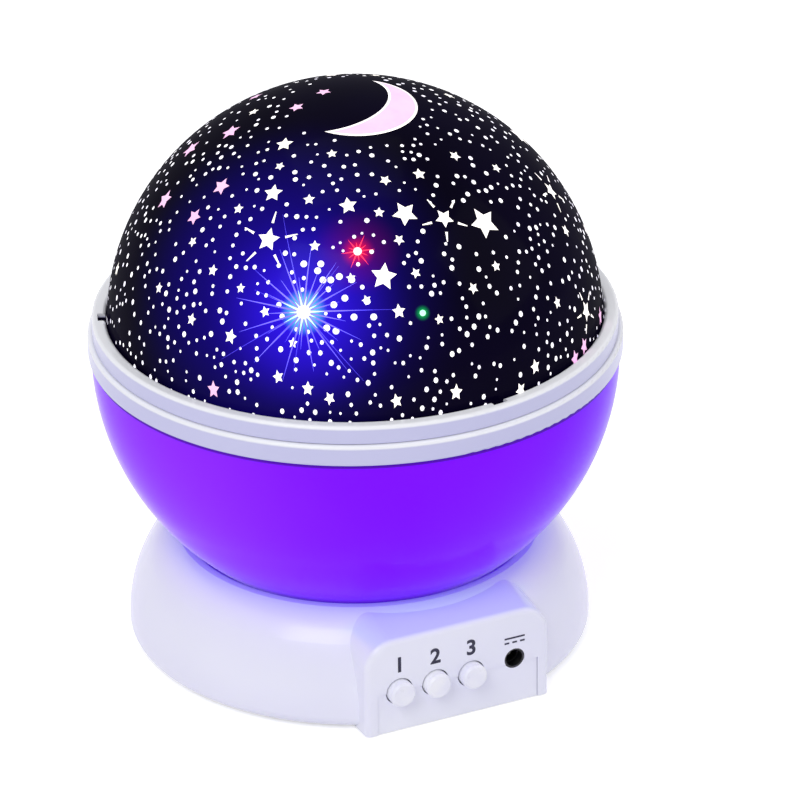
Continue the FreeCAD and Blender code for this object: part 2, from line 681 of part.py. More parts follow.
def battery_door():
    low = SKIRT_BOTTOM
    high = low + DOOR_THICKNESS
    half = DOOR_HALF_WIDTH
    plate = block(-half, half, DOOR_FRONT_Y, DOOR_HINGE_Y, low, high)
    knuckle = Part.makeCylinder(DOOR_KNUCKLE_R, 2 * half, Vec(-half, DOOR_HINGE_Y, DOOR_HINGE_Z), Vec(1, 0, 0))
    grip_y = DOOR_FRONT_Y + DOOR_GRIP_FROM_FRONT
    grip = block(-DOOR_GRIP_HALF, DOOR_GRIP_HALF, grip_y, grip_y + DOOR_GRIP_DEPTH, low - 1,
                 low + DOOR_THICKNESS / 2)
    door = join([plate, knuckle]).cut(grip)
    for side in (-1, 1):
        start = side * (half - DOOR_PIN_ROOT)
        pin = Part.makeCylinder(DOOR_PIN_R, DOOR_PIN_LENGTH + DOOR_SIDE_GAP + DOOR_PIN_ROOT,
                                Vec(start, DOOR_HINGE_Y, DOOR_HINGE_Z), Vec(side, 0, 0))
        door = door.fuse(pin)
    return door.removeSplitter()


# Buttons, switches, board and jack


def button(x):
    cap = bar(BUTTON_R, BUTTON_FRONT_Y, BUTTON_FLANGE_Y, x, PANEL_HEIGHT)
    rim = [e for e in cap.Edges if abs(e.BoundBox.YMax - BUTTON_FRONT_Y) < 0.01]
    cap = cap.makeChamfer(BUTTON_CHAMFER, rim)
    flange = bar(BUTTON_FLANGE_R, BUTTON_FLANGE_Y, BUTTON_FLANGE_Y + BUTTON_FLANGE_THICKNESS, x, PANEL_HEIGHT)
    tail = bar(BUTTON_TAIL_R, BUTTON_FLANGE_Y + BUTTON_FLANGE_THICKNESS, BUTTON_BACK_Y, x, PANEL_HEIGHT)
    return join([cap, flange, tail])


def switch_plunger(x):
    return bar(PLUNGER_R, BUTTON_BACK_Y, BUTTON_BACK_Y + PLUNGER_LENGTH, x, PANEL_HEIGHT)


def switch_body(x):
    half = SWITCH_SIDE / 2
    body = block(x - half, x + half, SWITCH_FRONT_Y, CONTROL_BOARD_Y, PANEL_HEIGHT - half, PANEL_HEIGHT + half)
    return body.cut(bar(PLUNGER_R + FIT_GAP, SWITCH_FRONT_Y, SWITCH_FRONT_Y + SWITCH_BORE_DEPTH, x, PANEL_HEIGHT))


def control_board():
    return block(-CONTROL_BOARD_HALF, CONTROL_BOARD_HALF, CONTROL_BOARD_Y, BOARD_BACK_Y, CONTROL_BOARD_LOW,
                 CONTROL_BOARD_HIGH)


def dc_jack():
    nose_front = PANEL_FRONT_Y
    half = JACK_BODY_WIDTH / 2
    body_front = PANEL_INSIDE_Y + FIT_GAP
    body = block(JACK_X - half, JACK_X + half, body_front, CONTROL_BOARD_Y,
                 JACK_Z - JACK_BODY_HEIGHT / 2, JACK_Z + JACK_BODY_HEIGHT / 2)
    nose = bar(JACK_NOSE_R, nose_front, body_front, JACK_X, JACK_Z)
    mouth_end = nose_front + JACK_MOUTH_LENGTH
    bore_end = mouth_end + JACK_BORE_LENGTH
    jack = join([body, nose])
    jack = jack.cut(bar(JACK_MOUTH_R, nose_front, mouth_end, JACK_X, JACK_Z))
    return jack.cut(bar(JACK_BORE_R, mouth_end, bore_end, JACK_X, JACK_Z))


def jack_pin():
    bore_end = PANEL_FRONT_Y + JACK_MOUTH_LENGTH + JACK_BORE_LENGTH
    return bar(JACK_PIN_R, PANEL_FRONT_Y + JACK_PIN_RECESS, bore_end, JACK_X, JACK_Z)


# Motor and reduction gearing


def motor_post_places():
    places = []
    for angle in MOTOR_POST_ANGLES:
        dx, dy = polar(MOTOR_POST_REACH, angle)
        places.append((MOTOR_X + dx, MOTOR_Y + dy))
    return places


def motor_can():
    can = cylinder(MOTOR_R, MOTOR_LOW, MOTOR_HIGH, MOTOR_X, MOTOR_Y)
    rim = [e for e in can.Edges if abs(e.BoundBox.ZMin - MOTOR_HIGH) < 0.01]
    can = can.makeFillet(MOTOR_EDGE_R, rim)
    bearing = cylinder(MOTOR_BEARING_R, MOTOR_HIGH, MOTOR_HIGH + BRACKET_THICKNESS, MOTOR_X, MOTOR_Y)
    well = cylinder(MOTOR_SHAFT_R + AXLE_BORE_GAP, MOTOR_LOW + MOTOR_WELL_LIFT, MOTOR_HIGH + BRACKET_THICKNESS,
                    MOTOR_X, MOTOR_Y)
    return join([can, bearing]).cut(well)


def motor_bracket():
    low, high = MOTOR_HIGH, MOTOR_HIGH + BRACKET_THICKNESS
    plate = cylinder(MOTOR_BEARING_R + BRACKET_COLLAR, low, high, MOTOR_X, MOTOR_Y)
    for x, y in motor_post_places():
        reach = math.hypot(x - MOTOR_X, y - MOTOR_Y)
        arm = block(0, reach, -BRACKET_BAR_HALF, BRACKET_BAR_HALF, low, high)
        arm.rotate(Vec(0, 0, 0), UP, math.degrees(math.atan2(y - MOTOR_Y, x - MOTOR_X)))
        arm.translate(Vec(MOTOR_X, MOTOR_Y, 0))
        plate = plate.fuse(arm).fuse(cylinder(BRACKET_BAR_HALF, low, high, x, y))
    for x, y in motor_post_places():
        plate = plate.cut(cylinder(MOTOR_SCREW_R, low, high, x, y))
    return plate.cut(cylinder(MOTOR_BEARING_R, low, high, MOTOR_X, MOTOR_Y)).removeSplitter()


def motor_screws():
    seat = MOTOR_HIGH + BRACKET_THICKNESS
    return [small_screw_down(x, y, seat, MOTOR_SCREW_GRIP) for x, y in motor_post_places()]


def motor_shaft():
    return cylinder(MOTOR_SHAFT_R, MOTOR_LOW + MOTOR_SHAFT_LIFT, LOWER_LEVEL + LOWER_FACE + MOTOR_SHAFT_END,
                    MOTOR_X, MOTOR_Y)


def motor_pinion():
    facing = MOTOR_ANGLE + 180 + 180 / MOTOR_PINION_TEETH
    return gear(MOTOR_PINION_TEETH, LOWER_LEVEL, LOWER_FACE, MOTOR_SHAFT_R, MOTOR_X, MOTOR_Y, facing)


def reduction_gear():
    bore = AXLE_R + AXLE_BORE_GAP
    facing = REDUCTION_ANGLE + 180 + 180 / UPPER_PINION_TEETH
    upper = gear(UPPER_PINION_TEETH, UPPER_LEVEL, UPPER_FACE, bore, REDUCTION_X, REDUCTION_Y, facing)
    lower = gear(LOWER_WHEEL_TEETH, LOWER_LEVEL, LOWER_FACE, bore, REDUCTION_X, REDUCTION_Y, MOTOR_ANGLE)
    root = MODULE * UPPER_PINION_TEETH / 2 - DEDENDUM * MODULE
    collar = tube(root, bore, LOWER_LEVEL + LOWER_FACE, UPPER_LEVEL, REDUCTION_X, REDUCTION_Y)
    return lower.fuse(collar).fuse(upper)


def gear_axle():
    return cylinder(AXLE_R, AXLE_ROOT, DECK_LOW, REDUCTION_X, REDUCTION_Y)


def bowl_gear():
    wheel = gear(BOWL_GEAR_TEETH, UPPER_LEVEL, UPPER_FACE, HUB_BORE_R, 0, 0, REDUCTION_ANGLE)
    for x, y in [polar(GEAR_SCREW_CIRCLE_R, a) for a in GEAR_SCREW_ANGLES]:
        wheel = wheel.cut(cylinder(SMALL_SCREW_R, UPPER_LEVEL, UPPER_LEVEL + UPPER_FACE, x, y))
        wheel = wheel.cut(cylinder(SMALL_HEAD_R, UPPER_LEVEL, UPPER_LEVEL + SMALL_HEAD_H, x, y))
    return wheel


def gear_screws():
    places = [polar(GEAR_SCREW_CIRCLE_R, a) for a in GEAR_SCREW_ANGLES]
    return [screw(x, y, UPPER_LEVEL, SMALL_HEAD_R, SMALL_HEAD_H, SMALL_SCREW_R, GEAR_SCREW_LENGTH)
            for x, y in places]


# Lamp post, lamp board and lamps


def post_screw_places():
    return [polar(POST_SCREW_CIRCLE_R, a) for a in POST_SCREW_ANGLES]


def board_screw_places():
    return [polar(BOARD_SCREW_CIRCLE_R, a) for a in BOARD_SCREW_ANGLES]


def light_post():
    post = join([
        cylinder(POST_FLANGE_R, BAY_ROOF_HIGH, POST_FLANGE_TOP),
        cylinder(POST_R, BAY_ROOF_HIGH, POST_TOP),
        cylinder(POST_HEAD_R, POST_TOP - POST_HEAD_THICKNESS, POST_TOP),
    ])
    post = post.cut(cylinder(POST_BORE_R, BAY_ROOF_HIGH, POST_TOP))
    for x, y in post_screw_places():
        post = post.cut(cylinder(SMALL_SCREW_R, BAY_ROOF_HIGH, POST_FLANGE_TOP, x, y))
    for x, y in board_screw_places():
        post = post.cut(cylinder(SMALL_SCREW_R, POST_TOP - POST_HEAD_THICKNESS, POST_TOP, x, y))
    gate = block(-LEAD_R * 2, LEAD_R * 2, -POST_R - 1, -POST_BORE_R + 1, POST_FLANGE_TOP,
                 POST_FLANGE_TOP + POST_GATE_HEIGHT)
    return post.cut(gate)


def post_screws():
    grip = POST_FLANGE_THICKNESS + BAY_ROOF_HIGH - BAY_ROOF_LOW
    return [small_screw_down(x, y, POST_FLANGE_TOP, grip) for x, y in post_screw_places()]


def led_leg_places(name):
    x, y = LED_PLACES[name]
    return [(x - LED_LEG_PITCH / 2, y), (x + LED_LEG_PITCH / 2, y)]


def led_board():
    board = cylinder(LED_BOARD_R, POST_TOP, LED_BOARD_TOP)
    for name in LED_PLACES:
        for x, y in led_leg_places(name):
            board = board.cut(cylinder(LED_LEG_R, POST_TOP, LED_BOARD_TOP, x, y))
    for x, y in board_screw_places():
        board = board.cut(cylinder(SMALL_SCREW_R, POST_TOP, LED_BOARD_TOP, x, y))
    return board


def board_screws():
    grip = LED_BOARD_THICKNESS + POST_HEAD_THICKNESS
    return [small_screw_down(x, y, LED_BOARD_TOP, grip) for x, y in board_screw_places()]


def led(name):
    x, y = LED_PLACES[name]
    straight_top = LED_BOARD_TOP + LED_HEIGHT - LED_R
    pieces = [
        cylinder(LED_FLANGE_R, LED_BOARD_TOP, LED_BOARD_TOP + LED_FLANGE_H, x, y),
        cylinder(LED_R, LED_BOARD_TOP, straight_top, x, y),
        Part.makeSphere(LED_R, Vec(x, y, straight_top)),
    ]
    for leg_x, leg_y in led_leg_places(name):
        pieces.append(cylinder(LED_LEG_R, POST_TOP - LED_LEG_BELOW, LED_BOARD_TOP, leg_x, leg_y))
    return join(pieces)


# Bowl and its ring


def bowl():
    inner_r = BOWL_R - BOWL_WALL
    centre = Vec(0, 0, BOWL_CENTRE_Z)
    rim_top = RING_LIP_LOW
    below = cylinder(BOWL_R + 1, BOWL_FLOOR_Z, BOWL_CENTRE_Z)
    outside = Part.makeSphere(BOWL_R, centre).common(below)
    floor_inside = BOWL_FLOOR_Z + BOWL_FLOOR_THICKNESS
    inside = Part.makeSphere(inner_r, centre).common(cylinder(BOWL_BORE_R, floor_inside, rim_top))
    lip = tube(BOWL_LIP_R, BOWL_BORE_R, BOWL_CENTRE_Z, rim_top)
    shell = outside.cut(inside).fuse(lip)
    hub = cylinder(HUB_R, GEAR_TOP, floor_inside)
    shell = shell.fuse(hub).cut(cylinder(HUB_BORE_R, GEAR_TOP - 1, floor_inside + 1))
    for x, y in [polar(GEAR_SCREW_CIRCLE_R, a) for a in GEAR_SCREW_ANGLES]:
        pilot_top = UPPER_LEVEL + SMALL_HEAD_H + GEAR_SCREW_LENGTH
        shell = shell.cut(cylinder(SMALL_SCREW_R, GEAR_TOP - 1, pilot_top, x, y))
    return shell.removeSplitter()


def bowl_ring():
    band = tube(RING_R, BOWL_LIP_R, BOWL_CENTRE_Z, RING_TOP)
    lower_rim = [e for e in band.Edges if abs(e.BoundBox.ZMax - BOWL_CENTRE_Z) < 0.01
                 and e.BoundBox.XMax > RING_R - 0.1]
    upper_rim = [e for e in band.Edges if abs(e.BoundBox.ZMin - RING_TOP) < 0.01
                 and e.BoundBox.XMax > RING_R - 0.1]
    band = band.makeFillet(RING_EDGE_R, lower_rim + upper_rim)
    track = tube(BOWL_LIP_R, TRACK_LIP_R, RING_LIP_LOW, RING_TOP)
    for angle in LUG_ANGLES:
        track = track.cut(sector(LUG_R + RUN_GAP, RING_LIP_LOW, RING_TOP, angle + TWIST, SLOT_HALF_ANGLE))
    ring = band.fuse(track)
    stop_half = STOP_WIDTH_ANGLE / 2
    for angle in LUG_ANGLES:
        closed = angle - LUG_HALF_ANGLE - STOP_ANGLE_GAP - stop_half
        opened = angle + TWIST + SLOT_HALF_ANGLE + stop_half
        for place in (closed, opened):
            ring = ring.fuse(ring_sector(BOWL_BORE_R, TRACK_LIP_R + SEAT_GAP, LUG_LOW, RING_LIP_LOW, place,
                                         stop_half))
    return ring.removeSplitter()


def thrust_washer():
    return tube(WASHER_R, HUB_R + RUN_GAP, DECK_TOP, BOWL_FLOOR_Z - SEAT_GAP)


# Star dome, its collar with lugs, and its ring


def star_dome():
    centre = Vec(0, 0, DOME_CENTRE_Z)
    inner_r = DOME_R - DOME_WALL
    reach = cylinder(DOME_R + 1, DOME_CENTRE_Z, DOME_CENTRE_Z + DOME_R + 1)
    shell = Part.makeSphere(DOME_R, centre).cut(Part.makeSphere(inner_r, centre)).common(reach)
    collar_inner = COLLAR_R - COLLAR_WALL
    flange = tube(DOME_FLANGE_R, collar_inner, DOME_SEAT_Z, DOME_SEAT_Z + DOME_FLANGE_THICKNESS)
    collar = tube(COLLAR_R, collar_inner, LUG_LOW, DOME_SEAT_Z)
    dome = join([shell, flange, collar])
    for angle in LUG_ANGLES:
        dome = dome.fuse(ring_sector(LUG_R, COLLAR_R - COLLAR_WALL / 2, LUG_LOW, LUG_LOW + LUG_THICKNESS, angle,
                                     LUG_HALF_ANGLE))
        dome = dome.fuse(ring_sector(DOME_FLANGE_R, DOME_R - DOME_WALL / 2, DOME_CENTRE_Z, DOME_SEAT_Z + TAB_HEIGHT, angle,
                                     TAB_HALF_ANGLE))
    return dome.removeSplitter()


def dome_ring():
    groove_top = DOME_SEAT_Z + DOME_FLANGE_THICKNESS
    ring = lathe([
        (DOME_FLANGE_R, DOME_SEAT_Z), (DOME_RING_R, DOME_SEAT_Z), (DOME_RING_R, DOME_RING_TOP),
        (DOME_RING_MOUTH_R, DOME_RING_TOP), (DOME_RING_MOUTH_R, groove_top), (DOME_FLANGE_R, groove_top),
    ])
    top = [e for e in ring.Edges if abs(e.BoundBox.ZMin - DOME_RING_TOP) < 0.01]
    ring = ring.makeFillet(DOME_RING_EDGE_R, top)
    for angle in LUG_ANGLES:
        ring = ring.cut(sector(DOME_FLANGE_R, DOME_SEAT_Z, DOME_RING_TOP, angle, TAB_HALF_ANGLE))
    return ring


# Leads


def led_lead():
    """From the control board over the bay's roof, through the post's gate and up inside the post."""
    level = POST_FLANGE_TOP + LEAD_R + FIT_GAP
    wall_y = LAMP_LEAD_WALL_GAP - POST_BORE_R
    centre_y = wall_y / 2
    return lead([(0, BOARD_BACK_Y, level), (0, BOARD_BACK_Y + LEAD_RUN, level),
                 (LAMP_LEAD_BEND_X, BAY_FRONT_Y + LAMP_LEAD_SAG, level), (0, wall_y, level),
                 (0, centre_y + LAMP_LEAD_SAG, level + LAMP_LEAD_TURN), (0, centre_y, level + LAMP_LEAD_SLACK_TOP),
                 (0, centre_y, POST_TOP)])


def motor_lead():
    """From the control board round the bay's corner, square on to the motor's side."""
    x, y = polar(MOTOR_R, MOTOR_LEAD_ANGLE)
    out_x, out_y = polar(MOTOR_R + LEAD_RUN, MOTOR_LEAD_ANGLE)
    return lead([(MOTOR_LEAD_X, BOARD_BACK_Y, CELL_Z), (MOTOR_LEAD_X, BOARD_BACK_Y + LEAD_RUN, CELL_Z),
                 (MOTOR_LEAD_CORNER_X, BAY_FRONT_Y - LEAD_RUN / 2, CELL_Z),
                 (MOTOR_X + out_x, MOTOR_Y + out_y, CELL_Z), (MOTOR_X + x, MOTOR_Y + y, CELL_Z)])


def battery_lead():
    """From the control board to the bay's front wall."""
    wall_y = BAY_FRONT_Y - BAY_WALL
    return lead([(BATTERY_LEAD_START_X, BOARD_BACK_Y, CELL_Z),
                 (BATTERY_LEAD_START_X, BOARD_BACK_Y + LEAD_RUN, CELL_Z),
                 (BATTERY_LEAD_END_X, wall_y - LEAD_RUN / 2, CELL_Z), (BATTERY_LEAD_END_X, wall_y, CELL_Z)])


def save(name, shape):
    solids = shape if isinstance(shape, list) else [shape]
    loose = []
    for piece in solids:
        loose.extend(piece.Solids)
    body = loose[0] if len(loose) == 1 else Part.makeCompound(loose)
    print(name, len(loose), "valid" if body.isValid() else "INVALID", round(body.Volume, 1))
    body.exportStep(os.path.join("parts", name + ".step"))


def main():
    os.makedirs("parts", exist_ok=True)
    save("base_shell", base_shell())
    save("base_cover", base_cover())
    save("rubber_feet", rubber_feet())
    save("case_screws", case_screws())
    for i in range(CELL_COUNT):
        save("battery_cell_%d" % (i + 1), battery_cell(i))
    save("battery_contacts", contact_plates())
    save("battery_springs", contact_springs())
    save("battery_door", battery_door())
    for i, x in enumerate(BUTTON_X):
        save("button_%d" % (i + 1), button(x))
        save("switch_plunger_%d" % (i + 1), switch_plunger(x))
        save("switch_body_%d" % (i + 1), switch_body(x))
    save("control_board", control_board())
    save("dc_jack", dc_jack())
    save("jack_pin", jack_pin())
    save("motor_can", motor_can())
    save("motor_bracket", motor_bracket())
    save("motor_screws", motor_screws())
    save("motor_shaft", motor_shaft())
    save("motor_pinion", motor_pinion())
    save("gear_axle", gear_axle())
    save("reduction_gear", reduction_gear())
    save("bowl_gear", bowl_gear())
    save("gear_screws", gear_screws())
    save("thrust_washer", thrust_washer())
    save("light_post", light_post())
    save("post_screws", post_screws())
    save("led_board", led_board())
    save("board_screws", board_screws())
    for name in LED_PLACES:
        save(name, led(name))
    save("led_lead", led_lead())
    save("motor_lead", motor_lead())
    save("battery_lead", battery_lead())
    save("bowl", bowl())
    save("bowl_ring", bowl_ring())
    save("star_dome", star_dome())
    save("dome_ring", dome_ring())


main()
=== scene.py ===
"""Looks for the star night light projector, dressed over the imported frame, in metres."""
import math
import random

import bmesh
import bpy
from bpy.props import FloatProperty, FloatVectorProperty, IntProperty, PointerProperty
from mathutils import Matrix, Vector


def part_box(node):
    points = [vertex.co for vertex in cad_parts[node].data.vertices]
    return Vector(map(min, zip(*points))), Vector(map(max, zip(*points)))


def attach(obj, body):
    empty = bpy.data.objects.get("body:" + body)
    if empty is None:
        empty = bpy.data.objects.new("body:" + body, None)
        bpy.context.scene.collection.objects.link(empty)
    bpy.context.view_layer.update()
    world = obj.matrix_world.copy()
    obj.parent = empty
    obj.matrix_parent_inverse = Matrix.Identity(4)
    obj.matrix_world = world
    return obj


bl_info = {
    "name": "Star night light projector",
    "version": (1, 0, 0),
    "blender": (4, 5, 0),
    "location": "3D View > Sidebar > Star light",
    "description": "Dresses the star projector: star dome, lit bowl, rings, base, marks and stage",
    "category": "Object",
}

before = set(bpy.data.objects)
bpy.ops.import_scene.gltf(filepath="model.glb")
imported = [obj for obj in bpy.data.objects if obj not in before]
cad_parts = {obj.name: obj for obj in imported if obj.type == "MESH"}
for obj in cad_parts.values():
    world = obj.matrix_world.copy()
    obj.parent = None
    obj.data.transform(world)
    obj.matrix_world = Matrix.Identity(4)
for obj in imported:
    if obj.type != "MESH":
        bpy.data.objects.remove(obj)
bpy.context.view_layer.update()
MM = 0.001

# Places read from the frame

DOME_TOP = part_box("star_dome")[1][2]
DOME_RING_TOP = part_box("dome_ring")[1][2]
BOWL_RING_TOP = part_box("bowl_ring")[1][2]
BOWL_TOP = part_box("bowl")[1][2]
BOX_FRONT_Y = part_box("base_shell")[0][1]
JACK_LOW, JACK_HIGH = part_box("dc_jack")

# Dome: its outside is a half ball, and the film figures lie a skin's thickness proud of it

DOME_R = 58.0 * MM
DOME_CENTRE = Vector((0, 0, DOME_TOP - DOME_R))
SKIN = 0.05 * MM

# Figures on the film

# Broader dots where the lamps shine straight through: compass angle and height angle in degrees
BRIGHT_DOTS = (
    (-115.8, 35.6), (-111.9, 30.7), (-117.6, 31.5), (-119.2, 36.3), (-115.3, 27.3),
    (-123.6, 35.4), (-121.5, 35.5), (-122, 24.8), (-120.4, 30), (-125.3, 37.4),
    (-129.5, 38.7), (-124.6, 39), (-110.4, 27.2), (-119.7, 24.2),
)
BRIGHT_DOT_R = 0.78
BRIGHT_DOT_CLEAR = 1.1
# A star's points, and the corners between them, as shares of its radius
STAR_POINT = 0.92
STAR_CORNER = 0.46
# Stars: compass angle and height angle in degrees, radius in mm, turn in degrees
CREAM_STARS = (
    (-71, 43, 4.1, 8), (-97, 50, 3.3, 20), (-107, 36, 3.3, -12), (-147, 54, 2.5, 15),
    (-117, 53, 2.3, 10), (-158, 67, 2.3, 30), (-151, 61, 1.3, 0), (-157, 48, 1.4, 20),
    (-132, 54, 1.5, 12), (-106, 51, 1.4, -8), (-101, 44, 1.4, 25), (-127, 43, 1.4, 5),
    (-127, 67, 1.4, 14), (-101, 59, 1.5, 33), (-85, 59, 1.7, -15), (-62, 60, 1.6, 8),
    (-98, 36, 1.3, 18), (-104, 28, 1.7, 0), (-112, 31, 1.2, 22), (-116, 36, 1.2, 8),
    (-83, 30, 1.4, 16), (-74, 33, 1.3, -10), (-94, 25, 1.2, 5), (-126, 11, 1.5, 0),
    (-121, 9, 1.4, 30), (-106, 8, 1.5, 12), (-92, 8, 1.7, -8), (-75, 4, 1.6, 20),
    (-70, 8, 1.6, 4), (-133, 13, 1.4, 18), (-130, 21, 1.2, 0), (-138, 27, 1.3, 24),
    (-146, 20, 1.7, -6), (-146, 31, 1.2, 12), (-156, 33, 1.4, 9), (-158, 21, 1.4, 0),
    (-172, 24, 1.3, 20), (-167, 37, 1.3, -14), (-49, 52, 1.4, 10), (-40, 30, 1.6, 22),
    (-58, 19, 1.4, -4), (-22, 22, 1.7, 15),
)
PINK_STARS = (
    (-170, 51, 2.5, 10), (162, 61, 2.7, -5), (153, 50, 2.8, 12), (169, 40, 2.7, 25),
    (-172, 42, 2.2, 0), (169, 77, 2.0, 18), (131, 83, 2.0, 0), (123, 63, 2.0, 30),
    (-149, 7, 1.8, 8), (-50, 5, 1.9, 15), (-36, 6, 2.0, -10), (-55, 4, 1.9, 4),
)
RAYED_STARS = ((-142, 43, 3.0, 4), (-84, 47, 2.5, 20), (-32, 38, 2.5, 0), (-46, 12, 2.3, 12))
# The far side repeats the near side's mix of sizes
FAR_SIDE_STARS = (
    (-8, 46, 3.6, 12), (14, 30, 2.3, 0), (22, 56, 2.6, 18), (36, 14, 2.2, 6), (41, 40, 3.2, -9),
    (57, 24, 1.5, 21), (63, 58, 1.6, 4), (74, 36, 2.4, 13), (84, 11, 2.2, 0), (92, 47, 3.4, 25),
    (103, 28, 1.4, 9), (112, 8, 2.3, -7), (118, 42, 1.7, 16), (127, 19, 1.6, 3), (138, 34, 2.6, 11),
    (146, 12, 2.2, 28), (151, 67, 1.5, 5), (8, 8, 2.3, 14), (48, 71, 1.4, 0), (-18, 10, 2.2, 19),
    (78, 70, 2.2, 8), (162, 18, 1.6, 22), (3, 64, 1.7, -4),
)
# Where a rayed star's dashes start and end, as shares of its radius, and half their width in mm
RAY_START = 1.35
RAY_END = 2.3
RAY_HALF = 0.3
# The crescent is a disc bitten by a larger one, each given by its middle in mm from a place on the dome
MOON_PLACE = (-67, 81)
MOON_EDGE = 0.55
MOON_MIDDLE = (-1.8, 6.5)
MOON_R = 14.5
BITE_MIDDLE = (-4.8, 15.4)
BITE_R = 16.3
MOON_STEPS = 48
MOON_STRIPS = 4

# Lamps behind the film, as compass angle and height angle in degrees

BLUE_LAMP = (-128, 28)
RED_LAMP = (-114, 42)
GREEN_LAMP = (-98, 27)
GLOW_PLACE = (-137, 33)
# No dots this near a lamp, in mm
LAMP_CLEAR = ((BLUE_LAMP, 2.6), (RED_LAMP, 1.8), (GREEN_LAMP, 1.6))
# Glows from widest to brightest: place, where each is full and where it ends in metres, softness, weight
# and colour
GLOWS = (
    (GLOW_PLACE, 0.006, 0.047, 1.3, 1.0, (20, 4, 132)),
    (BLUE_LAMP, 0.001, 0.027, 1.4, 0.9, (50, 22, 250)),
    (RED_LAMP, 0.002, 0.011, 1.0, 0.22, (150, 0, 70)),
    (RED_LAMP, 0.0003, 0.0045, 1.3, 0.9, (255, 16, 64)),
    (GREEN_LAMP, 0.0003, 0.0020, 1.2, 0.85, (10, 190, 90)),
    (BLUE_LAMP, 0.0014, 0.0056, 1.0, 1.0, (96, 232, 255)),
)

# Painted light on the base and the bowl, and the bowl's deeper violet low down, where each starts and ends
# in metres

CUP_LIGHT_RADII = (0.0425, 0.0485)
CUP_LIGHT_HEIGHTS = (0.0205, 0.0250)
BOX_LIGHT_FRONT = (0.0520, 0.0532)
BOX_LIGHT_BACK = (0.0400, 0.0440)
BOX_LIGHT_HEIGHTS = (0.0215, 0.0235)
BOWL_LIGHT_PLACE = (-0.061, -0.012, 0.055)
BOWL_LIGHT_REACH = (0.012, 0.062)
BOWL_LOW_HEIGHTS = (0.024, 0.036)
# Painted shadow under the lower ring, as a dark band down from the bowl's top
RING_SHADOW_DEPTHS = (0.0047, 0.0041)
# How far below each ring's top its painted highlight starts
RING_HIGHLIGHT_DEPTH = 1.0 * MM
CELL_BAND_PLACES = (0.0165, 0.0170)

# Marks on the control box, in mm

MARK_Z = 17.2
NUMBER_SIZE = 5.4
INK_PROUD = 0.06
STROKE_SPREAD = 0.13
SIGN_HALF_WIDTH = 2.6
SIGN_DASH = 1.2
SIGN_DASH_STEP = 2.0
SIGN_DASH_Z = 16.0
SIGN_STROKE = 0.42

# Stage: area lamps as name, place in metres, width in metres, power in watts

LAMPS = (
    ("key_lamp", (-1.0, -0.8, 1.3), 0.9, 10.5),
    ("fill_lamp", (1.1, -0.7, 0.8), 1.1, 3.4),
    ("top_lamp", (0.1, 0.3, 1.5), 1.0, 3.0),
)
LAMP_AIM = Vector((0, 0, 0.06))
ROOM_LIGHT = 0.5
# The camera of the photograph: turn, tilt and roll in degrees, and the lamp's place in view in mm
CAMERA_TURN = -25.46
CAMERA_TILT = 26.85
CAMERA_ROLL = -0.65
SHIFT_ACROSS = -9.64
SHIFT_UP = -51.15
SHIFT_Z = 0.7


# Colour helpers


def srgb(r, g, b, a=1.0):
    """A colour given in 0 to 255 screen values, as Blender's linear colour."""
    def linear(v):
        v = v / 255
        return v / 12.92 if v <= 0.04045 else ((v + 0.055) / 1.055) ** 2.4
    return (linear(r), linear(g), linear(b), a)


class Wire:
    """A shader socket with arithmetic."""

    def __init__(self, paint, socket):
        self.paint = paint
        self.socket = socket

    def _math(self, operation, *values):
        return self.paint.node("ShaderNodeMath", {"operation": operation}, values)

    def __add__(self, other):
        return self._math("ADD", self, other)

    __radd__ = __add__

    def __sub__(self, other):
        return self._math("SUBTRACT", self, other)

    def __rsub__(self, other):
        return self._math("SUBTRACT", other, self)

    def __mul__(self, other):
        return self._math("MULTIPLY", self, other)

    __rmul__ = __mul__

    def power(self, other):
        return self._math("POWER", self, other)

    def clamp(self):
        return self.paint.node("ShaderNodeClamp", {}, (self, 0.0, 1.0))

    def ramp(self, low, high):
        """0 below low, 1 above high and smooth between them."""
        settings = {"interpolation_type": "SMOOTHSTEP"}
        return self.paint.node("ShaderNodeMapRange", settings, (self, low, high, 0.0, 1.0))


